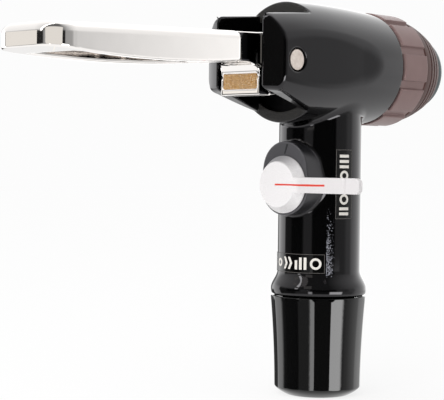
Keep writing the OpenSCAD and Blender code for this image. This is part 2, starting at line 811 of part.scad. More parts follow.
// Flat arm let into the knob, with a shallow cross groove near its tip.
module pointer_arm() {
    start = 2.6;
    tip_r = 1.8;
    groove_y = 6.5;
    half = arm_w / 2;
    color("#dededc") difference() {
        translate([arm_x, 0, selector_z]) rotate([90, 0, 90]) linear_extrude(arm_t) union() {
            translate([-arm_reach + tip_r, -half]) square([arm_reach - tip_r + start, arm_w]);
            translate([-arm_reach, -half + tip_r]) square([tip_r + eps, arm_w - 2 * tip_r]);
            for (s = [-1, 1]) translate([-arm_reach + tip_r, s * (half - tip_r)]) circle(r = tip_r);
        }
        translate([arm_x - 0.1, -arm_reach + groove_y, selector_z - half - 1])
            rotate([0, 0, 45]) translate([-0.3, -0.3, 0]) cube([0.6, 0.6, arm_w + 2]);
        translate([arm_x - eps, -line_end - fit, selector_z - line_w / 2 - fit])
            cube([line_t + eps, line_end - line_start + 2 * fit, line_w + 2 * fit]);
    }
}

line_start = -0.7;
line_end = 23.4;
line_w = 0.9;
line_t = 0.4;

// Red line let into the arm.
module pointer_line() {
    color("#e0402c") translate([arm_x, -line_end, selector_z - line_w / 2])
        cube([line_t - fit, line_end - line_start, line_w]);
}

module spindle_cap() {
    edge = 0.7;
    driver_w = 1.2;
    driver_d = 0.8;
    cap_x = spot_face_x + play;
    cap_end = tube_r + 2.6;
    color("#c4c6c8") difference() {
        along_selector() rotate_extrude() polygon([
            [spindle_neck_r + fit, cap_x], [spindle_cap_r, cap_x], [spindle_cap_r, cap_end - edge],
            [spindle_cap_r - edge, cap_end], [spindle_neck_r + fit, cap_end]
        ]);
        translate([cap_end - driver_d, -driver_w / 2, selector_z - spindle_cap_r - 1])
            cube([driver_d + 1, driver_w, 2 * spindle_cap_r + 2]);
    }
}

module stop_pin() {
    color("#9a9da1") translate([-boss_face, 0, selector_z]) rotate([0, 90, 0]) stop_pin_place()
        translate([0, 0, -0.9]) cylinder(r = stop_r - fit, h = 4.7);
}

// ---- Check valve in the tube ----

module check_seat() {
    color("#b59a5b") translate([0, 0, check_seat_z]) difference() {
        cylinder(r = air_bore_r - fit, h = seat_t - play);
        translate([0, 0, -eps]) cylinder(r = check_hole_r, h = seat_t + 1);
    }
}

check_travel = 3;
poppet_z = check_seat_z - 0.9 - poppet_t;

module check_poppet() {
    stem_low = retainer_z + retainer_t - check_travel;
    color("#d9d7cf") translate([0, 0, poppet_z]) {
        cylinder(r = poppet_r, h = poppet_t);
        translate([0, 0, stem_low - poppet_z]) cylinder(r = check_stem_r, h = poppet_z - stem_low + eps);
    }
}

module check_seal() {
    color("#141414") translate([0, 0, poppet_z + poppet_t]) ring(poppet_r - 0.5, check_hole_r - 1, 0.8);
}

module check_spring() {
    color("#9a9da1") coil(3.8, 0.45, retainer_z + retainer_t + play, poppet_z - play, 6);
}

// Disc with a guide for the poppet's stem and six holes for the air.
module spring_retainer() {
    hole_at = (air_bore_r + check_stem_r) / 2 + 0.6;
    color("#b59a5b") translate([0, 0, retainer_z]) difference() {
        cylinder(r = air_bore_r - fit, h = retainer_t);
        translate([0, 0, -eps]) cylinder(r = check_stem_r + play, h = retainer_t + 1);
        for (a = [0:60:300]) rotate([0, 0, a]) translate([hole_at, 0, -eps]) cylinder(r = 1.4, h = retainer_t + 1);
    }
}

// ---- Tire chuck ----

// Turn of the cap that squeezes the grommet, and what its thread then makes of it.
cap_turn_range = 270;
squeeze = cap_pitch * cap_turn_range / 360;

key_w = 3;
key_hold = 0.7;
sleeve_key_r = 11.6;
sleeve_r = air_bore_r - 0.08;

// Two opposite keys or key slots, w wide, that stand up from z.
module key_slots(w, h, reach, z) {
    translate([-reach, -w / 2, z]) cube([2 * reach, w, h]);
}

// Thin pin that opens the tire's valve, held by a spoked disc in the tube.
module depressor_pin() {
    pin_low = 10.5;
    rod_r = 1.3;
    hole_at = 5.6;
    color("#b59a5b") difference() {
        union() {
            translate([0, 0, carrier_z]) cylinder(r = air_bore_r - fit, h = carrier_t);
            translate([0, 0, pin_low]) cylinder(r = rod_r, h = carrier_z - pin_low + eps);
        }
        for (a = [45:90:315]) rotate([0, 0, a]) translate([hole_at, 0, carrier_z - eps])
            cylinder(r = 2, h = carrier_t + 1);
    }
}

// Radius of the grip cap's wall at the height z: it widens faster toward the top.
function cap_r_at(z) = cap_foot_r + (cap_top_r - cap_foot_r) * pow(max(z, 0) / cap_h, 1.9);

// The grip cap: a flaring sleeve with shallow flats between narrow round corners.
module chuck_cap() {
    steps = 5;
    rows = 8;
    edge = 0.3;
    rim = [for (i = [0:steps]) let (t = i / steps)
        [cap_rim_r + (cap_r_at(cap_rim_h) - cap_rim_r) * (1 - pow(1 - t, 1.6)), cap_rim_h * t]];
    wall = [for (i = [1:rows]) let (z = cap_rim_h + (cap_h - edge - cap_rim_h) * i / rows) [cap_r_at(z), z]];
    sunk = [for (i = [-1:rows + 1]) let (z = cap_rim_h + (cap_h - edge - cap_rim_h) * i / rows)
        [cap_r_at(z) - cap_flat_d, z]];
    snap_r = thread_r + 0.9;
    color("#17181a") difference() {
        rotate_extrude() polygon(concat([[0, 0]], rim, wall, [[cap_top_r - edge, cap_h], [0, cap_h]]));
        for (i = [0:cap_flats - 1]) rotate([90, 0, cap_flat_turn + i * 360 / cap_flats])
            linear_extrude(2 * cap_foot_r, center = true)
                polygon(concat([[big, sunk[0][1]]], sunk, [[big, sunk[rows + 2][1]]]));
        translate([0, 0, -eps]) cylinder(r = valve_hole_r, h = big);
        translate([0, 0, cap_floor]) cylinder(r = cap_bore_r, h = big);
        translate([0, 0, cap_step_z]) cylinder(r = thread_r + fit, h = big);
        translate([0, 0, snap_z - play]) cylinder(r = snap_r, h = snap_t + 2 * play);
    }
}

cap_flat_turn = 6.2;

module cap_retaining_ring() {
    color("#7d8085") translate([0, 0, snap_z]) ring(thread_r + 0.8, thread_r - 0.7, snap_t);
}

// Sleeve that the cap's thread drives down onto the grommet. Two keys stop it turning.
module clamp_sleeve() {
    inner_r = valve_hole_r + 0.6;
    key_low = spigot_mouth_z - 1.6;
    key_top = spigot_mouth_z + squeeze + key_hold;
    color("#b59a5b") difference() {
        union() {
            translate([0, 0, sleeve_z]) cylinder(r = cap_bore_r - play, h = sleeve_flange_t);
            translate([0, 0, sleeve_z]) cylinder(r = sleeve_r, h = sleeve_neck_top - sleeve_z);
            intersection() {
                key_slots(key_w, key_top - key_low, sleeve_key_r, key_low);
                cylinder(r = sleeve_key_r, h = big);
            }
        }
        translate([0, 0, sleeve_z - eps]) cylinder(r = inner_r, h = big);
    }
}

module chuck_grommet() {
    color("#1a1a1a") translate([0, 0, grommet_z]) ring(cap_bore_r - 1.2, valve_hole_r - play, grommet_len);
}

module thrust_washer() {
    color("#dcdcd4") translate([0, 0, cap_floor + play]) ring(cap_bore_r - gap, valve_hole_r + 0.3, washer_t);
}

// ---- Labels ----

// Curved plate on the tube, w wide around the angle a and h high above z.
module tube_plate(a, w, z, h) {
    reach = 2 * tube_r;
    half = w / tube_r * 90 / PI;
    translate([0, 0, z]) intersection() {
        ring(tube_r + label_t, tube_r + 2 * eps, h);
        linear_extrude(h) polygon(concat(
            [[0, 0]], [for (i = [-2:2]) let (b = a + half * i / 2) [reach * cos(b), reach * sin(b)]]
        ));
    }
}

module label_tank() {
    place = 255.25;
    below = 12.8;
    color("#202224") tube_plate(place, tank_label_w, selector_z - below, tank_label_h);
}

module label_tire() {
    place = 180;
    color("#202224") tube_plate(place, tire_label_w, ring_z + 0.95 * flare_h, tire_label_h);
}

housing();
lever();
lever_bush();
lever_pad();
lever_pin();
lever_washers();
plunger();
cam_follower();
plunger_seal();
return_spring();
bulkhead();
stem_seal();
stem_guide();
tank_seat();
tank_gasket();
tank_filter();
collar();
collar_insert();
collar_end_ring();
collar_retaining_ring();
selector_spindle();
selector_seals();
selector_knob();
pointer_arm();
pointer_line();
spindle_cap();
stop_pin();
check_seat();
check_poppet();
check_seal();
check_spring();
spring_retainer();
depressor_pin();
chuck_cap();
cap_retaining_ring();
clamp_sleeve();
chuck_grommet();
thrust_washer();
label_tank();
label_tire();
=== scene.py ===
"""Looks for a portable tire inflator: its finishes, its rounded castings, the studio and the camera.

Forms are worked out in millimetres in the part's own frame. +Z runs up the handle tube, the lever
reaches along -X and the tank collar faces +X.
"""
import math

import bmesh
import bpy
import numpy as np
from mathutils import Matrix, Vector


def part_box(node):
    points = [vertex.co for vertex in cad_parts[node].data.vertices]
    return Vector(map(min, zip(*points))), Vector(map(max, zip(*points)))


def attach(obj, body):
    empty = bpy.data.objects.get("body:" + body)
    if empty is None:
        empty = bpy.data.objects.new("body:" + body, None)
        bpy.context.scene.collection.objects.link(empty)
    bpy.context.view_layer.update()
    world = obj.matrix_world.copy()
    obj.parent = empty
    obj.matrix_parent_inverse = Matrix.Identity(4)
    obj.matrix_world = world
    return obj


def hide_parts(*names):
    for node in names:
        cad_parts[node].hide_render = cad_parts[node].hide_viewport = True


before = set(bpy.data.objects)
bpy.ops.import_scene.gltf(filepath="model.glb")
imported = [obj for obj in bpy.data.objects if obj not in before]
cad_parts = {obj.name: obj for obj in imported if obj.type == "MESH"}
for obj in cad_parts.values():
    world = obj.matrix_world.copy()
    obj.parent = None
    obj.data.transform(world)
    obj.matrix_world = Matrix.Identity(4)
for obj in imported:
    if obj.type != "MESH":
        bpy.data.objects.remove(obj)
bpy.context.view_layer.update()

MM = 0.001
TAU = 2 * math.pi


# ---- Places that the frame gives ----

def low(node):
    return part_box(node)[0] / MM


def high(node):
    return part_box(node)[1] / MM


def middle(node):
    return (low(node) + high(node)) / 2


PIVOT = middle("lever_pin")
AXIS_Z = middle("collar_end_ring").z
SELECTOR_Z = middle("spindle_cap").z
CAP_TOP = high("chuck_cap").z
COLLAR_START = low("collar").x
COLLAR_END = high("collar").x
KNOB_BACK = high("selector_knob").x
ARM_FACE = low("pointer_arm").x
ARM_REACH = -low("pointer_arm").y

# Length of the collar's grip, up to the shoulder where its darker tail starts.
GRIP_LEN = 15

# ---- Sizes of the casting ----

BARREL_R = 23.1
BARREL_FRONT = 23.5
BARREL_REAR = 24
CROWN_X = -9
CROWN_FRONT_RHO = 225
CROWN_REAR_RHO = 450
BORE_R = 18.47
CHEEK_REACH = 46.5
NOSE_R = 37
SLOT_HALF = 10.95
CHEEK_TOP = 15.8
CHEEK_TOP_FROM = 2
CHEEK_TOP_RISE = 0.084
CHEEK_DROP = 11.2
CHEEK_SLOPE = math.radians(19)
CHEEK_HEEL = 2.5
FLAT_Y = 19
FLAT_RISE = math.tan(math.radians(3.6))
FLAT_END = -2
FLAT_RUN_OUT = 100
CAST_EDGE_R = 0.8
NOSE_EDGE_R = 2.4
LIP_FILLET_R = 1.5
SHOULDER_FILLET_R = 0.4
TUBE_R = 16
TUBE_FILLET_R = 1.8
RING_R = 18.5
RING_Z = 41
RING_FOOT = CAP_TOP + 0.7
RING_ROLL = 0.6
RING_ROLL_END = 0.98
RING_EDGE_R = 0.25
FLARE_H = 7
FLARE_SCALE = 0.93
LAND_INSET = 1.3
LAND_GAP = 0.1
SPIGOT_R = 13.4
SPIGOT_MOUTH = 22
BOSS_FACE = 21
BOSS_R = 11.7
BOSS_EDGE_R = 0.5
BOSS_FILLET_R = 0.9
LOBE_R = 10.8
LOBE_RISE = 5.6
PIN_R = 3.69
PIN_FIT = 0.05
PIN_RECESS_W = 0.7
PIN_RECESS_D = 0.6
CAP_SPOT_R = 6.1
CAP_SPOT_D = 1.4
SLOT_EDGE_R = 0.5
BORE_EDGE_R = 0.3
PIN_EDGE_R = 0.1
RECESS_EDGE_R = 0.25
SPOT_EDGE_R = 0.3


# ---- Fields: the distance to a surface, below zero inside ----

def edge(r, *fields):
    """Where all the fields overlap. The edges between them are rounded to the radius r."""
    near = sum(np.maximum(f + r, 0) ** 2 for f in fields)
    return np.minimum(np.maximum.reduce(fields), -r) + np.sqrt(near)


def joined(r, *fields):
    """The fields together, with a fillet of radius r in the corners between them."""
    return -edge(r, *[-f for f in fields])


def cut(r, body, tool):
    """The body without the tool. The edge of the cut is rounded to the radius r."""
    return edge(r, body, -tool)


def slabs(x, y, z, low_corner, high_corner):
    """The three slabs that a box is the overlap of."""
    return [np.maximum(a - v, v - b) for v, a, b in zip((x, y, z), low_corner, high_corner)]


def block(x, y, z, low_corner, high_corner):
    return np.maximum.reduce(slabs(x, y, z, low_corner, high_corner))


def outline(u, v, points):
    """Distance to the edge of a flat outline whose corners are points."""
    far = np.full(u.shape, 1e9)
    inside = np.zeros(u.shape, bool)
    for (ax, ay), (bx, by) in zip(points, points[1:] + points[:1]):
        ex, ey = bx - ax, by - ay
        t = np.clip(((u - ax) * ex + (v - ay) * ey) / (ex * ex + ey * ey), 0, 1)
        far = np.minimum(far, np.hypot(u - ax - t * ex, v - ay - t * ey))
        if ay != by:
            inside ^= ((ay > v) != (by > v)) & (u < ax + (v - ay) * ex / ey)
    return np.where(inside, -far, far)


# ---- The cast body ----

def barrel_form(x, y, h):
    """Crowned barrel with its two cheeks. h is the height above the barrel's axis."""
    rho = np.where(x < CROWN_X, CROWN_FRONT_RHO, CROWN_REAR_RHO)
    crown = np.hypot(y, h) - (BARREL_R - (x - CROWN_X) ** 2 / (2 * rho))
    nose_x = -CHEEK_REACH + math.sqrt(NOSE_R ** 2 - SLOT_HALF ** 2)
    nose = np.hypot(x - nose_x, y) - NOSE_R
    out = np.maximum(x - FLAT_END, 0)
    slope = FLAT_RISE + out / FLAT_RUN_OUT
    limit = FLAT_Y + (CHEEK_REACH + x) * FLAT_RISE + out ** 2 / (2 * FLAT_RUN_OUT)
    flat = (np.abs(y) - limit) / np.sqrt(1 + slope ** 2)
    top = h - CHEEK_TOP - (x + CHEEK_REACH + CHEEK_TOP_FROM) * CHEEK_TOP_RISE
    lip = -(h + CHEEK_DROP)
    behind_heel = x + CHEEK_REACH - CHEEK_HEEL
    slant = lip * math.cos(CHEEK_SLOPE) - behind_heel * math.sin(CHEEK_SLOPE)
    cheek = edge(CAST_EDGE_R, top, joined(LIP_FILLET_R, lip, slant))
    front = joined(SHOULDER_FILLET_R, -(x + BARREL_FRONT), edge(NOSE_EDGE_R, nose, cheek))
    return edge(CAST_EDGE_R, crown, x - BARREL_REAR, flat, front)


def tube_form(x, y, z):
    """Handle tube with its flared ring, and the spigot under it."""
    rho = np.hypot(x, y)
    t = np.clip((z - RING_Z) / FLARE_H, 0, 1)
    flare = TUBE_R + (RING_R - TUBE_R) * (1 + np.cos(math.pi * t)) / 2
    s = np.clip((RING_Z - z) / (RING_Z - RING_FOOT), 0, 1)
    radius = flare - RING_ROLL * (1 - np.sqrt(1 - s ** 2 * RING_ROLL_END))
    ring = edge(RING_EDGE_R, (rho - radius) * FLARE_SCALE, RING_FOOT - z)
    land = np.maximum.reduce((rho - RING_R + LAND_INSET, CAP_TOP + LAND_GAP - z, z - RING_Z))
    spigot = np.maximum(rho - SPIGOT_R, SPIGOT_MOUTH - z)
    return np.maximum(np.minimum.reduce((ring, land, spigot)), z - AXIS_Z)


def boss_form(x, y, z):
    """Oval boss behind the selector's knob: a large circle and a smaller one above it."""
    across, rise = np.abs(y), z - SELECTOR_Z
    b = (BOSS_R - LOBE_R) / LOBE_RISE
    a = math.sqrt(1 - b * b)
    k = a * rise - b * across
    side = a * across + b * rise - BOSS_R
    oval = np.where(k < 0, np.hypot(across, rise) - BOSS_R,
                    np.where(k > a * LOBE_RISE, np.hypot(across, rise - LOBE_RISE) - LOBE_R, side))
    return edge(BOSS_EDGE_R, oval, -(x + BOSS_FACE), x)


def housing_form(x, y, z):
    h = z - AXIS_Z
    stem = joined(BOSS_FILLET_R, tube_form(x, y, z), boss_form(x, y, z))
    body = joined(TUBE_FILLET_R, barrel_form(x, y, h), stem)
    slot = np.maximum(np.abs(y) - SLOT_HALF, x + BARREL_FRONT)
    bore = np.maximum(np.hypot(y, h) - BORE_R, -(x + BARREL_FRONT))
    pin = np.hypot(x - PIVOT.x, z - PIVOT.z)
    pin_hole = pin - PIN_R - PIN_FIT
    recess = np.maximum(pin - PIN_R - PIN_RECESS_W, high("lever_pin").y - PIN_RECESS_D - np.abs(y))
    cap_spot = np.maximum(np.hypot(y, z - SELECTOR_Z) - CAP_SPOT_R, TUBE_R - CAP_SPOT_D - x)
    for edge_r, tool in ((SLOT_EDGE_R, slot), (BORE_EDGE_R, bore), (PIN_EDGE_R, pin_hole),
                         (RECESS_EDGE_R, recess), (SPOT_EDGE_R, cap_spot)):
        body = cut(edge_r, body, tool)
    return body


# ---- The lever ----

LEVER_REACH = PIVOT.x - low("lever").x
TIP_CORNER_R = 9.5
ROOT_CORNER_R = 3.5
TIP_W = 15.8
ROOT_W = 12.9
SHOULDER = 20.2
NECK_W = 9.5
RELIEF = 1.3
RELIEF_FOOT = -2.5
HUB_R = 7.5
LEVER_TOP = 10.1
LEVER_FALL = math.tan(math.radians(2.2))
LEVER_EDGE_R = 3.4
BELLY = 3.5
BELLY_RHO = 500
BELLY_SHIFT = 4
SOFT_EDGE_R = 0.7
HOLLOW_EDGE_R = 0.8
TIP_WALL = 3.4
ROOT_WALL = 3
ROOF = 3.6
HOLLOW_FROM_TIP = 12.5
HOLLOW_FROM_SHOULDER = 5
HOLLOW_CORNER_R = 2
HOLLOW_ROOF_R = 1.2
RELIEF_R = 1.5
NECK_FILLET_R = 1.2
NECK_IN_BLADE = 2
NECK_UNDER = -1.2
CAM_NEAR = 7.5
CAM_RISE = 3.3
CAM_FRONT = 9.5
CAM_FILLET_R = 4.2
PAD_DEPTH = 1.5
PAD_FIT = 0.05
PAD_EDGE_R = 0.4
SEAT_EDGE_R = 0.25
SEAT_AHEAD = 5


def cam_points():
    """Side view of the neck and the cam about the pivot."""
    heel = [(CAM_NEAR - LEVER_TOP * (1 - math.cos(a)), LEVER_TOP * math.sin(a))
            for a in np.linspace(math.pi / 2, 0, 13)]
    face = []
    for a in np.linspace(0, math.pi / 2, 15):
        d = CAM_NEAR + CAM_RISE * a
        face.append((d * math.cos(a) - CAM_RISE * math.sin(a), -d * math.sin(a) - CAM_RISE * math.cos(a)))
    fillet = [(-CAM_FRONT - CAM_FILLET_R * (1 - math.cos(a)), NECK_UNDER - CAM_FILLET_R * (1 - math.sin(a)))
              for a in np.linspace(0, math.pi / 2, 9)]
    end_u = -SHOULDER - NECK_IN_BLADE
    start = (end_u, LEVER_TOP - SHOULDER * LEVER_FALL)
    return [start] + heel + face[1:] + fillet + [(end_u, NECK_UNDER)]


def lever_form(x, y, z):
    """Hollow blade, and the neck with its cam. u and w are along and above from the pivot."""
    u, w = x - PIVOT.x, z - PIVOT.z
    across = np.abs(y)
    root = (-(SHOULDER + ROOT_CORNER_R), ROOT_W - ROOT_CORNER_R)
    tip_u, tip_y = -(LEVER_REACH - TIP_CORNER_R), TIP_W - TIP_CORNER_R
    run, spread = root[0] - tip_u, tip_y - root[1]
    lean = math.asin((TIP_CORNER_R - ROOT_CORNER_R) / math.hypot(run, spread)) + math.atan(spread / run)
    side = (u - root[0]) * math.sin(lean) + (across - root[1]) * math.cos(lean) - ROOT_CORNER_R
    tip = edge(TIP_CORNER_R, side, -(u + LEVER_REACH))
    plan = edge(ROOT_CORNER_R, tip, u + SHOULDER)
    reach = np.clip(-u, SHOULDER + ROOT_CORNER_R, LEVER_REACH - TIP_CORNER_R)
    top = w - LEVER_TOP + reach * LEVER_FALL
    belly_u = -(SHOULDER + LEVER_REACH) / 2 - BELLY_SHIFT
    belly = np.hypot(u - belly_u, w - BELLY_RHO + BELLY) - BELLY_RHO
    blade = edge(SOFT_EDGE_R, edge(LEVER_EDGE_R, plan, top), belly)
    tip_in, root_in = TIP_W - TIP_WALL, ROOT_W - ROOT_WALL
    tip_end, root_end = LEVER_REACH - HOLLOW_FROM_TIP, SHOULDER + HOLLOW_FROM_SHOULDER
    wall = root_in + (-u - root_end) * (tip_in - root_in) / (tip_end - root_end)
    roof = w - (LEVER_TOP - ROOF) - u * LEVER_FALL
    hollow = edge(HOLLOW_CORNER_R, across - wall, u + root_end, -u - tip_end)
    blade = cut(HOLLOW_EDGE_R, blade, edge(HOLLOW_ROOF_R, hollow, roof))
    neck = edge(SOFT_EDGE_R, outline(u, w, cam_points()), across - NECK_W)
    relief = edge(RELIEF_R, NECK_W - RELIEF - across, RELIEF_FOOT - w, u + HUB_R)
    lever = joined(NECK_FILLET_R, blade, cut(HOLLOW_EDGE_R, neck, relief))
    pad_low, pad_high = low("lever_pad"), high("lever_pad")
    before_cam = PIVOT.x - CAM_FRONT - SEAT_AHEAD
    seat = block(x, y, z, (before_cam, pad_low.y - PAD_FIT, pad_low.z - PAD_FIT),
                 (PIVOT.x - CAM_FRONT + PAD_DEPTH, pad_high.y + PAD_FIT, pad_high.z + PAD_FIT))
    return cut(SEAT_EDGE_R, lever, seat)


def pad_form(x, y, z):
    return edge(PAD_EDGE_R, *slabs(x, y, z, low("lever_pad"), high("lever_pad")))


# ---- The selector ----

KNOB_R = 10.84
KNOB_FACE_R = 8.66
KNOB_CORNER_R = 0.45
KNOB_MID_R = 4
KNOB_LAND = 0.35
KNOB_LAND_EDGE = (0.5, 0.05)
ARM_HALF = 2.9
ARM_T = 2.4
ARM_TIP_R = 1.8
ARM_EDGE_R = 0.35
ARM_END = 2.6
ARM_SINK = 0.12
ARM_SINK_EDGE = 0.4
ARM_GROOVE = 6.5
ARM_GROOVE_D = 0.55
ARM_GROOVE_R = 0.1


def knob_profile():
    """Flat face with a round corner, a slanted side and a narrow land at the back."""
    face = [(ARM_FACE + KNOB_CORNER_R * (1 - math.sin(a)), KNOB_FACE_R - KNOB_CORNER_R * (1 - math.cos(a)))
            for a in np.linspace(math.pi / 2, 0, 6)]
    ahead, inward = KNOB_LAND_EDGE
    land = [(KNOB_BACK - ahead, KNOB_R - inward), (KNOB_BACK - KNOB_LAND, KNOB_R), (KNOB_BACK, KNOB_R)]
    return [(ARM_FACE, 0), (ARM_FACE, KNOB_MID_R)] + face + land + [(KNOB_BACK, 0)]


def arm_form(x, y, z):
    """Flat arm. Where it lies in the knob it stays just under the knob's face."""
    across = np.abs(z - SELECTOR_Z)
    in_knob = np.hypot(y, z - SELECTOR_Z) < KNOB_FACE_R - ARM_SINK_EDGE
    face = ARM_FACE + ARM_SINK * in_knob
    plan = edge(ARM_TIP_R, across - ARM_HALF, -(y + ARM_REACH))
    bar = edge(ARM_EDGE_R, plan, face - x, x - ARM_FACE - ARM_T, y - ARM_END)
    groove = (np.abs(y + ARM_REACH - ARM_GROOVE) + (x - ARM_FACE) - ARM_GROOVE_D) * math.sqrt(0.5)
    return cut(ARM_GROOVE_R, bar, groove)


# ---- Meshes ----

def link(name, mesh):
    piece = bpy.data.objects.new(name, mesh)
    bpy.context.scene.collection.objects.link(piece)
    return piece


def smooth(mesh):
    mesh.polygons.foreach_set("use_smooth", [True] * len(mesh.polygons))


SETTLE_ROUNDS = 5
SETTLE_STEP = 0.02
SETTLE_REACH = 0.9
LEAST_SLOPE = 0.2


def settle(points, form):
    """Moves each point that lies near the form's surface onto it."""
    step = SETTLE_STEP
    near = np.abs(form(*points.T)) < SETTLE_REACH
    moved = points[near]
    for _ in range(SETTLE_ROUNDS):
        f = form(*moved.T)
        slope = np.stack([form(*(moved + step * axis).T) - form(*(moved - step * axis).T)
                          for axis in np.eye(3)], 1) / (2 * step)
        moved = moved - slope * (f / np.maximum((slope ** 2).sum(1), LEAST_SLOPE))[:, None]
    result = points.copy()
    result[near] = moved
    return result


def cast(name, node, form, grid):
    """A CAD node on an even grid of faces, with its surface moved onto the rounded form."""
    rough = link(name + "_grid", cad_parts[node].data.copy())
    even = rough.modifiers.new("grid", "REMESH")
    even.mode = "VOXEL"
    even.voxel_size = grid * MM
    mesh = bpy.data.meshes.new_from_object(rough.evaluated_get(bpy.context.evaluated_depsgraph_get()))
    bpy.data.objects.remove(rough)
    points = np.empty(len(mesh.vertices) * 3)
    mesh.vertices.foreach_get("co", points)
    points = settle(points.reshape(-1, 3) / MM, form)
    mesh.vertices.foreach_set("co", (points * MM).ravel())
    smooth(mesh)
    mesh.update()
    return link(name, mesh)


ROUND_STEPS = 144


def turned(name, profile, centre, axis, steps, carve=None):
    """A closed profile of (along, radius) points turned about an axis. carve may change the radius."""
    along, radius = np.array(profile, float).T
    angles = np.arange(steps) * TAU / steps
    rows = np.repeat(radius[:, None], steps, 1)
    if carve:
        rows = carve(along[:, None] + 0 * rows, angles[None, :] + 0 * rows, rows)
    first, second = rows * np.cos(angles), rows * np.sin(angles)
    third = np.repeat(along[:, None], steps, 1)
    order = {"x": (third, first, second), "z": (first, second, third)}[axis]
    points = np.stack([a + c for a, c in zip(order, centre)], -1).reshape(-1, 3) * MM
    count = len(profile)
    faces = []
    for i in range(count):
        j = (i + 1) % count
        for k in range(steps):
            n = (k + 1) % steps
            faces.append((i * steps + k, i * steps + n, j * steps + n, j * steps + k))
    mesh = bpy.data.meshes.new(name)
    mesh.from_pydata(points.tolist(), [], faces)
    whole = bmesh.new()
    whole.from_mesh(mesh)
    bmesh.ops.remove_doubles(whole, verts=whole.verts, dist=1e-7)
    whole.to_mesh(mesh)
    whole.free()
    smooth(mesh)
    return link(name, mesh)


def wrapped(name, cells, radius, thick):
    """Flat cells of (around, up) corners in millimetres, wrapped on the tube as thin plates."""
    points, faces = [], []
    for corners in cells:
        start = len(points)
        for r in (radius, radius + thick):
            for around, up in corners:
                a = around / TUBE_R
                points.append((r * math.cos(a) * MM, r * math.sin(a) * MM, up * MM))
        n = len(corners)
        faces.append(tuple(range(start + n - 1, start - 1, -1)))
        faces.append(tuple(range(start + n, start + 2 * n)))
        for i in range(n):
            j = (i + 1) % n
            faces.append((start + i, start + j, start + n + j, start + n + i))
    mesh = bpy.data.meshes.new(name)
    mesh.from_pydata(points, [], faces)
    return link(name, mesh)


# ---- Shader maths ----

class Value:
    """A socket of a material's nodes. Arithmetic on values adds the Math nodes."""

    def __init__(self, nodes, socket):
        self.nodes, self.socket = nodes, socket

    def _math(self, operation, *terms):
        return self.nodes.add("ShaderNodeMath", {"operation": operation}, dict(enumerate(terms)))

    def __add__(self, other):
        return self._math("ADD", self, other)

    def __sub__(self, other):
        return self._math("SUBTRACT", self, other)

    def __rsub__(self, other):
        return self._math("SUBTRACT", other, self)

    def __mul__(self, other):
        return self._math("MULTIPLY", self, other)

    def __truediv__(self, other):
        return self._math("DIVIDE", self, other)

    def __pow__(self, other):
        return self._math("POWER", self, other)

    __radd__ = __add__
    __rmul__ = __mul__

    def above(self, low_end, high_end):
        """0 below low_end, 1 above high_end, and a soft step between."""
        return self.nodes.add("ShaderNodeMapRange", {"interpolation_type": "SMOOTHSTEP"},
                              {0: self, 1: low_end, 2: high_end, 3: 0.0, 4: 1.0})


class Nodes:
    """The node tree of a material or a world."""

    def __init__(self, owner):
        owner.use_nodes = True
        self.tree = owner.node_tree
        self.tree.nodes.clear()

    def add(self, kind, settings=None, inputs=None, out=0):
        node = self.tree.nodes.new(kind)
        for key, value in (settings or {}).items():
            if key == "stops":
                self._stops(node.color_ramp, value)
            else:
                setattr(node, key, value)
        for key, value in (inputs or {}).items():
            if isinstance(value, Value):
                self.tree.links.new(value.socket, node.inputs[key])
            else:
                node.inputs[key].default_value = value
        return Value(self, node.outputs[out]) if node.outputs else node

    @staticmethod
    def _stops(ramp, stops):
        while len(ramp.elements) < len(stops):
            ramp.elements.new(0.5)
        for element, (place, colour) in zip(ramp.elements, stops):
            element.position = place
            element.color = (*colour, 1)

    def place(self):
        """The place on the part in millimetres."""
        here = self.add("ShaderNodeTexCoord", out="Object")
        return self.add("ShaderNodeVectorMath", {"operation": "SCALE"}, {0: here, "Scale": 1 / MM})

    def axes(self, vector):
        split = self.add("ShaderNodeSeparateXYZ", inputs={0: vector})
        return [Value(self, s) for s in split.socket.node.outputs]

    def noise(self, where, scale, detail=2.0, roughness=0.5):
        return self.add("ShaderNodeTexNoise", {}, {
            "Vector": where, "Scale": scale, "Detail": detail, "Roughness": roughness})

    def speckle(self, where, scale):
        return self.add("ShaderNodeTexVoronoi", {}, {"Vector": where, "Scale": scale})

    def grains(self, where, scale):
        """An even random value for each small cell."""
        cells = self.add("ShaderNodeTexVoronoi", {}, {"Vector": where, "Scale": scale}, out="Color")
        return self.axes(cells)[0]

    def mix(self, factor, a, b):
        """Mixes two colours."""
        return self.add("ShaderNodeMix", {"data_type": "RGBA"}, {0: factor, 6: a, 7: b}, out=2)

    def bump(self, height, depth, strength=1.0, over=None):
        """Normal of a height that is 0 to 1, for a depth in millimetres. It may lie over another bump."""
        under = {"Normal": over} if over else {}
        return self.add("ShaderNodeBump", {}, {
            "Height": height, "Distance": depth * MM, "Strength": strength, **under})

    def stretched(self, where, scales):
        return self.add("ShaderNodeVectorMath", {"operation": "MULTIPLY"}, {0: where, 1: scales})


def rgb(r, g, b):
    return (r, g, b, 1.0)


def finish(name, sockets, build=None):
    """A Principled finish. build(nodes) gives the sockets that vary over the surface."""
    material = bpy.data.materials.new(name)
    nodes = Nodes(material)
    varying = build(nodes) if build else {}
    shader = nodes.add("ShaderNodeBsdfPrincipled", {}, {**sockets, **varying})
    nodes.add("ShaderNodeOutputMaterial", {}, {"Surface": shader})
    return material


# ---- Finishes ----

# Where the coat is satin, scuffed with a painted highlight, or rough: heights in millimetres, bearings
# about the tube in radians.
SATIN_FOOT = (66, 67)
SATIN_TOP = (99.5, 100.5)
SCUFF_AND_HIGHLIGHT_START = (-2.275, -2.26)
SCUFF_AND_HIGHLIGHT_FADE = (-2.27, -1.98)
SCUFF_AND_HIGHLIGHT_FOOT = (45, 48)
SCUFF_AND_HIGHLIGHT_TOP = (48, 78)
ROUGH_END_FOOT = (100, 102)
COAT_BLACK = rgb(0.0011, 0.0011, 0.0012)


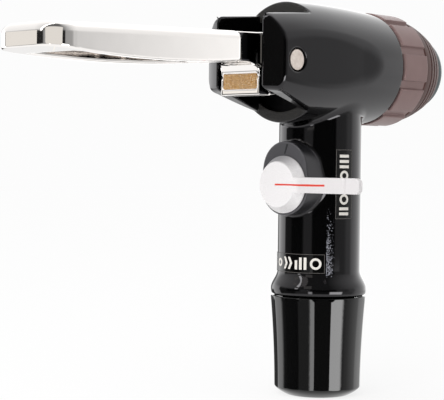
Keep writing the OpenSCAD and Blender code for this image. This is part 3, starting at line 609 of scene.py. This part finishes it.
def gloss_coat():
    """Gloss black on the casting: rough metal at the barrel's end, a satin boss, and pale speckles down the
    tube that are partly scuffed paint and partly a painted highlight.
    """
    def build(n):
        where = n.place()
        x, y, z = n.axes(where)
        forward = 0 - n.axes(n.add("ShaderNodeNewGeometry", out="Normal"))[0]
        past_front = (0 - x).above(BARREL_FRONT - 0.5, BARREL_FRONT - 0.2)
        not_cheek = (x + BARREL_FRONT + 0.7).above(0, 0.3)
        rough_end = forward.above(0.7, 0.9) * past_front * not_cheek * z.above(*ROUGH_END_FOOT)
        grain = n.noise(where, 2.6, 4.0, 0.75)
        glints = n.noise(where, 5.0, 2.0, 0.6).above(0.62, 0.68)
        metal = n.mix(grain, rgb(0.0012, 0.0012, 0.0010), rgb(0.014, 0.013, 0.010))
        metal = n.mix(glints, metal, rgb(0.13, 0.12, 0.10))

        out = (x * x + y * y) ** 0.5
        satin = out.above(TUBE_R + 0.25, TUBE_R + 0.6) * z.above(*SATIN_FOOT) * (1 - z.above(*SATIN_TOP))
        boss_face = (0 - x).above(BOSS_FACE - 0.6, BOSS_FACE - 0.2)
        boss = n.mix(boss_face, rgb(0.016, 0.016, 0.018), rgb(0.078, 0.077, 0.083))
        sand = n.noise(where, 6.0, 2.0, 0.6)

        # pale speckles in the band where a soft box reflects on the tube: partly scuffed paint, partly a
        # painted highlight
        bearing = n.add("ShaderNodeMath", {"operation": "ARCTAN2"}, {0: y, 1: x})
        band = bearing.above(*SCUFF_AND_HIGHLIGHT_START) * (1 - bearing.above(*SCUFF_AND_HIGHLIGHT_FADE)) ** 1.6
        height = z.above(*SCUFF_AND_HIGHLIGHT_FOOT) * (1 - z.above(*SCUFF_AND_HIGHLIGHT_TOP))
        on_tube = 1 - out.above(TUBE_R + 0.2, TUBE_R + 0.6)
        scuffs_and_painted_highlight = (n.grains(where, 3.0) + band * height * on_tube * 0.85).above(1.0, 1.2)

        colour = n.mix(scuffs_and_painted_highlight, COAT_BLACK, rgb(0.20, 0.205, 0.235))
        colour = n.mix(rough_end, n.mix(satin, colour, boss), metal)
        peel = n.noise(where, 0.35, 1.0)
        worn = n.bump(grain, 0.22, rough_end)
        sanded = n.bump(sand, 0.01, satin, worn)
        return {
            "Base Color": colour,
            "Roughness": 0.035 + scuffs_and_painted_highlight * 0.4 + satin * 0.26 + rough_end * 0.5,
            "Normal": n.bump(peel, 0.008, 0.5, sanded),
        }
    return finish("gloss coat", {"IOR": 1.5, "Specular Tint": rgb(0.985, 0.96, 1.0)}, build)


def chrome_plate():
    """Bright chrome. On the neck's two sides, between the cheeks, the base colour is darkened as a painted
    reflection of the black cheeks.
    """
    def build(n):
        where = n.place()
        sideways = n.axes(n.add("ShaderNodeNewGeometry", out="Normal"))[1]
        shoulder = PIVOT.x - SHOULDER
        neck = n.axes(where)[0].above(shoulder + 0.2, shoulder + 0.8)
        # painted reflection: the neck's sides get a near-black base colour that stands for the black cheeks
        # mirrored in them
        painted_cheek_reflection = neck * (sideways * sideways).above(0.6, 0.9)
        swell = n.noise(where, 0.09, 1.0)
        haze = n.noise(where, 0.5, 3.0)
        return {
            "Base Color": n.mix(painted_cheek_reflection, rgb(0.91, 0.88, 0.855), rgb(0.05, 0.05, 0.055)),
            "Roughness": 0.035 + haze * 0.03,
            "Normal": n.bump(swell, 0.06, 0.5),
        }
    return finish("chrome plate", {"Metallic": 1.0}, build)


def sintered_pad():
    """Brass grains pressed together."""
    def build(n):
        where = n.place()
        grains = n.speckle(where, 2.4)
        tone = n.noise(where, 1.6, 4.0, 0.8)
        stops = [(0.34, (0.26, 0.12, 0.03)), (0.5, (0.62, 0.33, 0.10)), (0.66, (0.95, 0.73, 0.40))]
        colour = n.add("ShaderNodeValToRGB", {"stops": stops}, {0: tone})
        # painted highlight: near-white specks in the colour stand for grains catching the light
        painted_sparkle = n.noise(where, 4.0, 1.0, 0.5).above(0.60, 0.66)
        colour = n.mix(painted_sparkle, colour, rgb(1.0, 0.95, 0.85))
        return {"Base Color": colour, "Roughness": 0.35 + tone * 0.3, "Normal": n.bump(grains, 0.12)}
    return finish("sintered pad", {"Metallic": 0.75}, build)


def satin_silver():
    """Satin silver. The arm carries painted shade that makes it a little darker, and so does the upper left
    of the knob's bevel.
    """
    def build(n):
        where = n.place()
        sand = n.noise(where, 2.4, 3.0, 0.8)
        colour = n.mix(sand.above(0.2, 0.8), rgb(0.76, 0.74, 0.745), rgb(1.0, 0.98, 0.985))
        _, y, z = n.axes(where)
        # painted shade: the arm is given a darker colour than the knob's face
        arm = (0 - y).above(9.0, 12.0)
        colour = n.mix(arm * 0.5, colour, rgb(0.66, 0.63, 0.635))
        rise = z - SELECTOR_Z
        # painted shade: the knob's bevel is darkened everywhere except toward its lower right
        bevel = ((y * y + rise * rise) ** 0.5).above(KNOB_FACE_R, KNOB_FACE_R + 0.3)
        lower_right = (rise * -0.6 - y * 0.8).above(-7, 3)
        shade = bevel * (1 - arm) * (1 - lower_right)
        colour = n.mix(shade * 0.85, colour, rgb(0.42, 0.41, 0.43))
        return {"Base Color": colour, "Roughness": 0.34 + sand * 0.16, "Normal": n.bump(sand, 0.02)}
    return finish("satin silver", {"Metallic": 0.1}, build)


def peened_steel():
    def build(n):
        where = n.place()
        dents = n.noise(where, 0.9, 3.0, 0.6)
        colour = n.mix(dents, rgb(0.52, 0.43, 0.37), rgb(0.92, 0.84, 0.78))
        return {"Base Color": colour, "Roughness": 0.22 + dents * 0.2, "Normal": n.bump(dents, 0.09)}
    return finish("peened steel", {"Metallic": 0.85}, build)


def anodised_collar():
    """Rosy brown anodising over fine turning lines. The tail is darker."""
    def build(n):
        where = n.place()
        shoulder = COLLAR_START + GRIP_LEN
        tail = n.axes(where)[0].above(shoulder - 0.05, shoulder + 0.05)
        lines = n.noise(n.stretched(where, (9.0, 0.2, 0.2)), 1.0, 3.0, 0.6)
        cloud = n.noise(where, 0.12, 2.0)
        colour = n.mix(cloud, rgb(0.215, 0.142, 0.136), rgb(0.275, 0.188, 0.181))
        colour = n.mix(lines * 0.25, colour, rgb(0.16, 0.100, 0.095))
        colour = n.mix(tail, colour, rgb(0.078, 0.036, 0.031))
        roughness = 0.30 + lines * 0.12 + tail * 0.1
        return {"Base Color": colour, "Roughness": roughness, "Normal": n.bump(lines, 0.01)}
    return finish("anodised collar", {"Metallic": 0.2, "Specular IOR Level": 0.2}, build)


def plain_gloss(name, colour, roughness, sheen=0.5):
    """A smooth gloss or satin of one colour."""
    def build(n):
        soft = n.noise(n.place(), 0.8, 2.0)
        return {"Roughness": roughness + soft * roughness * 0.5, "Normal": n.bump(soft, 0.01, 0.5)}
    return finish(name, {"Base Color": rgb(*colour), "Specular IOR Level": sheen}, build)


def turned_metal(name, dark, light, roughness, scale):
    """Machined metal: fine lines around the axis it was turned on."""
    def build(n):
        where = n.place()
        lines = n.noise(n.stretched(where, scale), 1.0, 3.0, 0.6)
        colour = n.mix(lines, rgb(*dark), rgb(*light))
        return {"Base Color": colour, "Roughness": roughness + lines * 0.15, "Normal": n.bump(lines, 0.008)}
    return finish(name, {"Metallic": 1.0}, build)


def soft_matte(name, colour, depth=0.02):
    """A matte finish of one colour with a fine grain."""
    def build(n):
        grain = n.noise(n.place(), 3.0, 3.0)
        return {"Roughness": 0.5 + grain * 0.25, "Normal": n.bump(grain, depth)}
    return finish(name, {"Base Color": rgb(*colour)}, build)


def red_enamel():
    def build(n):
        tone = n.noise(n.place(), 1.2, 2.0)
        colour = n.mix(tone, rgb(0.62, 0.030, 0.018), rgb(0.86, 0.075, 0.045))
        return {"Base Color": colour, "Roughness": 0.25 + tone * 0.15}
    return finish("red enamel", {}, build)


COAT = gloss_coat()
CHROME = chrome_plate()
PAD = sintered_pad()
SILVER = satin_silver()
STEEL_PIN = peened_steel()
COLLAR = anodised_collar()
CAP_BLACK = plain_gloss("cap black", COAT_BLACK[:3], 0.035)
END_RING = plain_gloss("end ring teal", (0.040, 0.062, 0.066), 0.3, 0.15)
RED = red_enamel()
ALONG_X, ALONG_Z = (7.0, 0.3, 0.3), (0.3, 0.3, 7.0)
# painted shade: the plunger, deep in the bore under the cam, is coloured near-black to stand for the shade
# there
ALLOY_WITH_PAINTED_SHADE = turned_metal(
    "alloy with painted shade", (0.010, 0.010, 0.011), (0.022, 0.022, 0.024), 0.35, ALONG_X)
BRASS = turned_metal("turned brass", (0.50, 0.36, 0.15), (0.70, 0.54, 0.27), 0.2, ALONG_Z)
ALLOY = turned_metal("turned alloy", (0.50, 0.50, 0.51), (0.68, 0.68, 0.69), 0.22, ALONG_X)
STEEL = turned_metal("bright steel", (0.42, 0.43, 0.44), (0.60, 0.60, 0.61), 0.2, (5.0, 5.0, 0.5))
SINTERED = soft_matte("sintered bronze", (0.30, 0.23, 0.13), 0.08)
RUBBER = soft_matte("black rubber", (0.012, 0.012, 0.012))
NYLON = soft_matte("natural nylon", (0.72, 0.71, 0.66))
LABEL = plain_gloss("label film", (0.002, 0.002, 0.002), 0.07)
LABEL_EDGE = soft_matte("label edge", (0.09, 0.083, 0.078))
LABEL_INK = soft_matte("pale ink", (0.78, 0.75, 0.70))
TICK_INK = soft_matte("dark ink", (0.006, 0.006, 0.008))


def dress(thing, material):
    thing.data.materials.clear()
    thing.data.materials.append(material)


NODE_FINISHES = {
    "lever_bush": BRASS, "lever_pin": STEEL_PIN, "lever_washers": NYLON, "plunger": ALLOY_WITH_PAINTED_SHADE,
    "cam_follower": STEEL, "plunger_seal": RUBBER, "return_spring": STEEL, "bulkhead": ALLOY,
    "stem_seal": RUBBER, "stem_guide": BRASS, "tank_seat": BRASS, "tank_gasket": RUBBER,
    "tank_filter": SINTERED, "collar_insert": BRASS, "collar_retaining_ring": STEEL,
    "selector_spindle": BRASS, "selector_seals": RUBBER, "spindle_cap": ALLOY, "stop_pin": STEEL,
    "check_seat": BRASS, "check_poppet": NYLON, "check_seal": RUBBER, "check_spring": STEEL,
    "spring_retainer": BRASS, "depressor_pin": BRASS, "cap_retaining_ring": STEEL,
    "clamp_sleeve": NYLON, "chuck_grommet": RUBBER, "thrust_washer": NYLON,
}
for node_name, material in NODE_FINISHES.items():
    dress(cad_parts[node_name], material)


def stands_for(piece, node, body, material):
    """Puts a piece in a CAD node's place."""
    dress(piece, material)
    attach(piece, body)
    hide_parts(node)


# ---- Castings ----

BODY_GRID = 0.42
LEVER_GRID = 0.45
PAD_GRID = 0.3
ARM_GRID = 0.2

stands_for(cast("cast_body", "housing", housing_form, BODY_GRID), "housing", "body", COAT)
stands_for(cast("lever_casting", "lever", lever_form, LEVER_GRID), "lever", "lever", CHROME)
pad = cast("cam_pad", "lever_pad", pad_form, PAD_GRID)
pad.visible_glossy = False
stands_for(pad, "lever_pad", "lever", PAD)
knob = turned("knob", knob_profile(), (0, 0, SELECTOR_Z), "x", ROUND_STEPS)
stands_for(knob, "selector_knob", "selector", SILVER)
arm = cast("arm", "pointer_arm", arm_form, ARM_GRID)
stands_for(arm, "pointer_arm", "selector", SILVER)

# ---- Collar ----

COLLAR_R = 22.3
COLLAR_BORE = 14.6
COLLAR_HUB = 11.55
BEARING_LEN = 7.5
SHOULDER_STEP = 0.9
TAIL_R = 17.4
TAIL_BEND = 1.5
FLUTES = 10
FLUTE_W = 3.8
FLUTE_D = 1.2
FLUTE_LEN = 15.6
FLUTE_WALL = 0.48
FLUTE_TURN = math.radians(72)
GROOVES = (0.34, 0.55, 0.77)
GROOVE_HALF = 0.5
GROOVE_D = 0.42
GROOVE_SIDE = 0.18
GROOVE_ROUND = 0.7
TAIL_STEPS = 130


def tail_radius(t):
    top = COLLAR_R - SHOULDER_STEP
    return top - (top - TAIL_R) * t ** TAIL_BEND


def collar_profile():
    """Outside of the collar from its front to its end, then back through the cavity."""
    start = COLLAR_START
    shoulder = start + GRIP_LEN
    bearing = start + BEARING_LEN
    tail = COLLAR_END - shoulder
    front = [(start, COLLAR_R - 0.4), (start + 0.08, COLLAR_R - 0.2), (start + 0.2, COLLAR_R - 0.05),
             (start + 0.4, COLLAR_R + 0.03)]
    grip = [(start + x, COLLAR_R + 0.05) for x in np.linspace(1, GRIP_LEN - 0.7, 70)]
    brow = [(shoulder - 0.45, COLLAR_R - 0.05), (shoulder - 0.25, COLLAR_R - 0.25),
            (shoulder - 0.1, COLLAR_R - 0.6)]
    back = []
    for t in (i / TAIL_STEPS for i in range(TAIL_STEPS + 1)):
        dip = min(min(abs(t - g) * tail - GROOVE_HALF for g in GROOVES) / GROOVE_SIDE, 0)
        back.append((shoulder + tail * t, tail_radius(t) - GROOVE_D * min(1, -dip) ** GROOVE_ROUND))
    inside = [(COLLAR_END, COLLAR_BORE), (bearing, COLLAR_BORE), (bearing, COLLAR_HUB), (start, COLLAR_HUB)]
    return front + grip + brow + back + inside


def fluted(along, angle, radius):
    """Sinks the flutes into the outer radius. Each has a flat floor and slanted walls."""
    pitch = TAU / FLUTES
    turn = np.mod(angle - FLUTE_PHASE + pitch / 2, pitch) - pitch / 2
    inside = np.clip((FLUTE_W / 2 - radius * np.abs(np.sin(turn))) / FLUTE_WALL, 0, 1)
    short = np.clip((FLUTE_LEN - along + COLLAR_START) / FLUTE_WALL, 0, 1)
    share = np.minimum(inside, short)
    share = share * share * (3 - 2 * share)
    floor = (COLLAR_R - FLUTE_D) / np.cos(turn)
    return np.where(radius > COLLAR_BORE + 1, radius + share * np.minimum(floor - radius, 0), radius)


# The flutes are counted from the underside toward +Y.
FLUTE_PHASE = FLUTE_TURN - TAU / 4
COLLAR_STEPS = 960

collar = turned("fluted_collar", collar_profile(), (0, 0, AXIS_Z), "x", COLLAR_STEPS, fluted)
stands_for(collar, "collar", "collar", COLLAR)

# ---- End ring ----

RING_OUTER = 15.7
RING_NOSE = 13.4
RING_HOLE = 11
RING_FIT = 0.05
RING_PLAY = 0.1
RING_LIP = 2.1
RING_LAND = 0.6
RING_FRONT_R = 0.15
RING_HOLE_R = 0.3


def end_ring_profile():
    """A lip in the collar's mouth, a narrow land and a rolled nose around the hole."""
    face = COLLAR_END + RING_PLAY
    tip = high("collar_end_ring").x
    start = face + RING_LAND
    roll = [(start + (tip - start) * math.sin(a), RING_NOSE + (RING_OUTER - RING_NOSE) * math.cos(a))
            for a in np.linspace(0, math.pi / 2, 12)]
    return ([(face - RING_LIP, RING_HOLE), (face - RING_LIP, COLLAR_BORE - RING_FIT),
             (face, COLLAR_BORE - RING_FIT), (face, RING_OUTER - RING_FRONT_R),
             (face + RING_FRONT_R, RING_OUTER)] + roll
            + [(tip, RING_HOLE + RING_HOLE_R), (tip - RING_HOLE_R, RING_HOLE)])


ring = turned("end_ring", end_ring_profile(), (0, 0, AXIS_Z), "x", ROUND_STEPS)
stands_for(ring, "collar_end_ring", "collar", END_RING)

# ---- Tire chuck's cap ----

CAP_TOP_R = 18.5
CAP_FOOT_R = 16.65
CAP_FLARE = 1.9
CAP_RIM_R = 12.3
CAP_RIM_H = 3.4
CAP_RIM_BULGE = 1.6
CAP_EDGE = 0.3
CAP_FLATS = 18
CAP_FLAT_D = 0.13
CAP_FLAT_BEND = 0.7
CAP_FLAT_TURN = math.radians(6.2)
CAP_FLAT_BLEND = 0.06
CAP_FIT = 0.05
CAP_BORE_R = 12.95
CAP_STEP = 20
CAP_FLOOR = 4
VALVE_HOLE_R = 4.4
CAP_STEPS = 720


def cap_radius(z):
    return CAP_FOOT_R + (CAP_TOP_R - CAP_FOOT_R) * (np.maximum(z, 0) / CAP_TOP) ** CAP_FLARE


def cap_profile():
    """Bulging rim at the foot, flaring wall, and the stepped bore with the hole for the valve."""
    spread = cap_radius(CAP_RIM_H) - CAP_RIM_R
    rim = [(CAP_RIM_H * t, CAP_RIM_R + spread * (1 - (1 - t) ** CAP_RIM_BULGE))
           for t in np.linspace(0, 1, 13)]
    rows = np.linspace(CAP_RIM_H, CAP_TOP - CAP_EDGE, 25)[1:]
    wall = [(z, cap_radius(z)) for z in rows]
    top = [(CAP_TOP - 0.08, CAP_TOP_R - 0.12), (CAP_TOP, CAP_TOP_R - CAP_EDGE)]
    neck_r = SPIGOT_R + CAP_FIT
    inside = [(CAP_TOP, neck_r), (CAP_STEP, neck_r), (CAP_STEP, CAP_BORE_R),
              (CAP_FLOOR, CAP_BORE_R), (CAP_FLOOR, VALVE_HOLE_R), (0, VALVE_HOLE_R)]
    return [(0, VALVE_HOLE_R + 0.3)] + rim + wall + top + inside


def flatted(along, angle, radius):
    """Cuts the shallow flats around the cap's wall. Each is a little crowned."""
    pitch = TAU / CAP_FLATS
    turn = np.mod(angle - CAP_FLAT_TURN + pitch / 2, pitch) - pitch / 2
    flat = (cap_radius(along) - CAP_FLAT_D) / np.cos(CAP_FLAT_BEND * turn)
    blend = np.clip(0.5 + 0.5 * (flat - radius) / CAP_FLAT_BLEND, 0, 1)
    lower = flat * (1 - blend) + radius * blend - CAP_FLAT_BLEND * blend * (1 - blend)
    return np.where(radius > cap_radius(CAP_RIM_H) - 1, lower, radius)


cap = turned("chuck_grip", cap_profile(), (0, 0, 0), "z", CAP_STEPS, flatted)
stands_for(cap, "chuck_cap", "cap", CAP_BLACK)

# ---- Red line on the arm ----

LINE_START = 0.7
LINE_END = -23.4
LINE_HALF = 0.34
LINE_PROUD = 0.04
LINE_DEPTH = 0.3
LINE_STEPS = 40


def red_line():
    """A brushed line whose edges wander a little."""
    face, back = ARM_FACE - LINE_PROUD, ARM_FACE + LINE_DEPTH
    points, faces = [], []
    for i in range(LINE_STEPS + 1):
        t = i / LINE_STEPS
        y = LINE_START + (LINE_END - LINE_START) * t
        wander = 0.03 * math.sin(7.3 * t + 0.4) - 0.02 * math.sin(17 * t)
        half = LINE_HALF * (0.85 + 0.25 * t) * (1 + 0.06 * math.sin(11 * t + 1))
        below, above = SELECTOR_Z + wander - half, SELECTOR_Z + wander + half
        for x, z in ((face, below), (face, above), (back, above), (back, below)):
            points.append((x * MM, y * MM, z * MM))
    for i in range(LINE_STEPS):
        for k in range(4):
            a, b = i * 4 + k, i * 4 + (k + 1) % 4
            faces.append((a, b, b + 4, a + 4))
    faces += [(3, 2, 1, 0), tuple(LINE_STEPS * 4 + k for k in range(4))]
    mesh = bpy.data.meshes.new("red_line")
    mesh.from_pydata(points, [], faces)
    return link("red_line", mesh)


stands_for(red_line(), "pointer_line", "selector", RED)

# ---- Labels ----

LABEL_T = 0.12
LABEL_GAP = 0.01
EDGE_T = 0.03
INK_T = 0.04
STROKE = 1.1
CELL_W = 0.7


def label(name, node, around, columns, border, marks):
    """A film on the tube in its CAD node's place, with its edge line and its marks."""
    area = (*around, low(node).z, high(node).z)
    sheet = wrapped(name, sheet_cells(*area, columns), TUBE_R + LABEL_GAP, LABEL_T)
    stands_for(sheet, node, "body", LABEL)
    for part, cells, thick, ink in (("edge", border_cells(*area, border, columns), EDGE_T, LABEL_EDGE),
                                    ("marks", marks, INK_T, LABEL_INK)):
        piece = wrapped(f"{name}_{part}", cells, TUBE_R + LABEL_T, thick)
        dress(piece, ink)
        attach(piece, "body")


def sheet_cells(a0, a1, z0, z1, columns):
    step = (a1 - a0) / columns
    return [((a0 + i * step, z0), (a0 + (i + 1) * step, z0), (a0 + (i + 1) * step, z1), (a0 + i * step, z1))
            for i in range(columns)]


def border_cells(a0, a1, z0, z1, w, columns):
    """A line of width w around the inside of a label's edge."""
    cells = sheet_cells(a0, a1, z0, z0 + w, columns) + sheet_cells(a0, a1, z1 - w, z1, columns)
    return cells + sheet_cells(a0, a0 + w, z0 + w, z1 - w, 1) + sheet_cells(a1 - w, a1, z0 + w, z1 - w, 1)


def ring_cells(around, up, outer, inner, steps=20):
    """A round ring mark."""
    cells = []
    for i in range(steps):
        a, b = (TAU * (i + k) / steps for k in (0, 1))
        cells.append(tuple((around + r * math.cos(t), up + r * math.sin(t))
                           for r, t in ((outer, a), (outer, b), (inner, b), (inner, a))))
    return cells


def bar(a, z, w, h):
    return sheet_cells(a, a + w, z, z + h, max(1, round(w / CELL_W)))


def chevron(a, z, w, h, thick):
    """An arrow head that points along the mark's first direction."""
    mid = z + h / 2
    return [((a, z), (a + thick, z), (a + w, mid), (a + w - thick, mid)),
            ((a + w - thick, mid), (a + w, mid), (a + thick, z + h), (a, z + h))]


def degrees_round(degrees):
    return math.radians(degrees) * TUBE_R


def tire_label():
    """Two rings, two arrow heads and three bars, toward the label's end."""
    a0, a1 = degrees_round(132), degrees_round(228)
    z0, z1 = low("label_tire").z, high("label_tire").z
    mid = (z0 + z1) / 2
    tall = 4.6
    foot = mid - tall / 2
    marks = ring_cells(a1 - 3.4, mid, 2.2, 1.3)
    for i, height in enumerate((tall, tall, tall * 0.75)):
        marks += bar(a1 - 8.0 - 1.9 * i, foot, STROKE, height)
    for back in (15.2, 17.6):
        marks += chevron(a1 - back, foot, 2.2, tall, STROKE)
    marks += ring_cells(a1 - 20.4, mid, 1.6, 0.8)
    label("tire_label", "label_tire", (a0, a1), 24, 0.18, marks)


def tank_label():
    """Two bars and a ring at the foot, three bars and a ring at the top."""
    a0, a1 = degrees_round(242), degrees_round(268.5)
    z0, z1 = low("label_tank").z, high("label_tank").z
    near, wide = a0 + 1.5, 4.2
    marks = []
    for up in (z0 + 1.4, z0 + 3.3, z1 - 3.0, z1 - 5.0, z1 - 7.0):
        marks += bar(near, up, wide, STROKE)
    marks += ring_cells(near + wide / 2, z0 + 7.4, 2.0, 1.1)
    marks += ring_cells(near + wide / 2, z1 - 9.8, 1.9, 1.0)
    label("tank_label", "label_tank", (a0, a1), 8, 0.2, marks)


tire_label()
tank_label()

# ---- Tick mark on the selector's boss ----

TICK_TOP = 15.2
TICK_PROUD = 0.03


def boss_tick():
    """A small tapered dark index mark above the knob."""
    top = SELECTOR_Z + TICK_TOP
    outline_yz = ((1.9, 0), (1.0, 0), (-0.1, -3.6), (0.5, -3.6))
    points = [(x * MM, -y * MM, (top + z) * MM)
              for x in (-BOSS_FACE - TICK_PROUD, -BOSS_FACE + 0.05) for y, z in outline_yz]
    faces = [(0, 1, 2, 3), (7, 6, 5, 4)] + [(i, (i + 1) % 4, 4 + (i + 1) % 4, 4 + i) for i in range(4)]
    mesh = bpy.data.meshes.new("boss_tick")
    mesh.from_pydata(points, [], faces)
    piece = link("boss_tick", mesh)
    dress(piece, TICK_INK)
    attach(piece, "body")


boss_tick()

# ---- Studio ----

# The ramps hold at most 1, so the radiance is divided by this range in them.
SKY_RANGE = 8
# What a gloss surface sees level with it, below and above: bearing in degrees and radiance.
ROOM_LEVEL = ((-180, 0.33), (-162, 0.33), (-158, 0.02), (-97, 0.02), (-94, 0.33), (-66, 0.36), (-57, 0.62),
              (-46, 0.60), (-37, 1.15), (-12, 1.4), (10, 1.7), (50, 1.7), (58, 0.3), (68, 0.3), (74, 1.9),
              (109, 1.9), (114, 0.13), (134, 0.12), (140, 0.02), (172, 0.02), (178, 0.33))
ROOM_LOW = ((-180, 0.27), (-165, 0.27), (-163, 4.2), (-156, 4.2), (-154, 0.08), (-114, 0.08), (-111, 7.0),
            (-82, 7.0), (-79, 0.42), (-52, 0.5), (-36, 1.15), (-10, 1.2), (30, 0.9), (56, 0.9), (62, 0.1),
            (82, 0.1), (86, 1.9), (112, 1.9), (116, 0.10), (160, 0.05), (166, 0.27))
ROOM_HIGH = ((-180, 0.14), (-110, 0.14), (-62, 0.75), (-30, 1.0), (0, 1.5), (40, 1.7), (60, 1.2),
             (110, 1.0), (150, 0.8), (159, 0.7), (161, 6.5), (167, 6.5), (169, 0.3), (178, 0.14))
GROUND_GLOW = 1.05
BACKDROP_GLOW = 0.975
FLOOR_GLOW = 1.025
FLOOR_SIDE = 6.0


def studio_world():
    """A white room with dark flags in front and soft boxes, which only the gloss shows."""
    world = bpy.data.worlds.new("studio")
    bpy.context.scene.world = world
    n = Nodes(world)
    dx, dy, dz = n.axes(n.add("ShaderNodeTexCoord", out="Generated"))
    turn = n.add("ShaderNodeMath", {"operation": "ARCTAN2"}, {0: dy, 1: dx}) / TAU + 0.5

    def ring_of(stops):
        ramp = n.add("ShaderNodeValToRGB", {"stops": [
            ((bearing + 180) / 360, (glow / SKY_RANGE,) * 3) for bearing, glow in stops]}, {0: turn})
        return ramp * SKY_RANGE

    down = 0 - dz
    lower, ground, upper = down.above(0.06, 0.15), down.above(0.30, 0.45), dz.above(0.10, 0.36)
    glow = ring_of(ROOM_LEVEL) * (1 - lower) + ring_of(ROOM_LOW) * lower
    glow = glow * (1 - ground) + ground * GROUND_GLOW
    glow = glow * (1 - upper) + ring_of(ROOM_HIGH) * upper
    camera_ray, glossy, clear = (n.add("ShaderNodeLightPath", out=kind) for kind in (
        "Is Camera Ray", "Is Glossy Ray", "Is Transmission Ray"))
    # Matt surfaces are lit a little more from -X, from +Y and from above.
    soft = 0.74 + dx * -0.36 + dy * 0.24 + dz * 0.12
    unseen = glossy * glow + (1 - glossy) * (clear + (1 - clear) * soft)
    strength = camera_ray * BACKDROP_GLOW + (1 - camera_ray) * unseen
    shade = n.add("ShaderNodeBackground", {}, {"Color": rgb(1, 1, 1), "Strength": strength})
    n.add("ShaderNodeOutputWorld", {}, {"Surface": shade})


def flat_card(name, wide, deep):
    """A level rectangle about the origin."""
    a, b = wide / 2, deep / 2
    mesh = bpy.data.meshes.new(name)
    mesh.from_pydata([(-a, -b, 0), (a, -b, 0), (a, b, 0), (-a, b, 0)], [], [(0, 1, 2, 3)])
    return link(name, mesh)


def reflector(name, place, facing, size, glow):
    """A card, lit on its front, that only gloss surfaces near it show."""
    piece = flat_card(name, *size)
    piece.location = place
    piece.rotation_euler = (Vector(facing) - Vector(place)).to_track_quat("Z", "Y").to_euler()
    piece.visible_camera = piece.visible_diffuse = piece.visible_shadow = False
    material = bpy.data.materials.new(name)
    n = Nodes(material)
    front = n.add("ShaderNodeEmission", {}, {"Color": rgb(1, 0.97, 0.92), "Strength": glow})
    clear = n.add("ShaderNodeBsdfTransparent")
    behind = n.add("ShaderNodeNewGeometry", out="Backfacing")
    both = n.add("ShaderNodeMixShader", {}, {0: behind, 1: front, 2: clear})
    n.add("ShaderNodeOutputMaterial", {}, {"Surface": both})
    dress(piece, material)


def soft_lamp(name, place, target, size, power):
    data = bpy.data.lights.new(name, "AREA")
    data.shape = "RECTANGLE"
    data.size, data.size_y = size
    data.energy = power
    lamp = bpy.data.objects.new(name, data)
    bpy.context.scene.collection.objects.link(lamp)
    lamp.location = place
    aim = Vector(target) - Vector(place)
    lamp.rotation_euler = aim.to_track_quat("-Z", "Y").to_euler()
    lamp.visible_glossy = False


def floor():
    piece = flat_card("floor", FLOOR_SIDE, FLOOR_SIDE)
    piece.visible_glossy = False
    material = bpy.data.materials.new("white floor")
    n = Nodes(material)
    seen = n.add("ShaderNodeLightPath", out="Is Camera Ray")
    card = n.add("ShaderNodeBsdfDiffuse", {}, {"Color": rgb(0.95, 0.95, 0.95)})
    white = n.add("ShaderNodeEmission", {}, {"Color": rgb(1, 1, 1), "Strength": FLOOR_GLOW})
    both = n.add("ShaderNodeMixShader", {}, {0: seen * 0.8, 1: card, 2: white})
    n.add("ShaderNodeOutputMaterial", {}, {"Surface": both})
    dress(piece, material)


CAMERA_PLACE = (-0.431026, -0.358618, 0.089153)
CAMERA_YAW, CAMERA_TILT, CAMERA_ROLL = (math.radians(v) for v in (-46.377, 88.510, 0.6545))
CAMERA_LENS = 117.02


def camera():
    data = bpy.data.cameras.new("camera")
    data.lens = CAMERA_LENS
    data.sensor_width = 36
    data.clip_start = 0.05
    piece = bpy.data.objects.new("camera", data)
    bpy.context.scene.collection.objects.link(piece)
    matrix = Matrix.Translation(CAMERA_PLACE)
    for angle, axis in ((CAMERA_YAW, "Z"), (CAMERA_TILT, "X"), (CAMERA_ROLL, "Z")):
        matrix = matrix @ Matrix.Rotation(angle, 4, axis)
    piece.matrix_world = matrix
    bpy.context.scene.camera = piece


studio_world()
soft_lamp("key", (-1.1, -0.35, 0.6), (0, 0, 0.08), (0.8, 0.6), 5.0)
reflector("tip_card", (-0.187, 0.045, 0.125), (-0.147, 0, 0.127), (0.040, 0.036), 0.85)
reflector("corner_card", (-0.180, -0.040, 0.140), (-0.142, -0.008, 0.128), (0.070, 0.070), 0.80)
reflector("cam_card", (-0.098, 0.044, 0.119), (-0.046, 0, 0.119), (0.024, 0.020), 1.0)
reflector("nose_flag", (-0.054, -0.017, 0.129), (0.0, -0.017, 0.129), (0.014, 0.036), 0.08)
floor()
camera()
bpy.context.scene.view_settings.view_transform = "Standard"
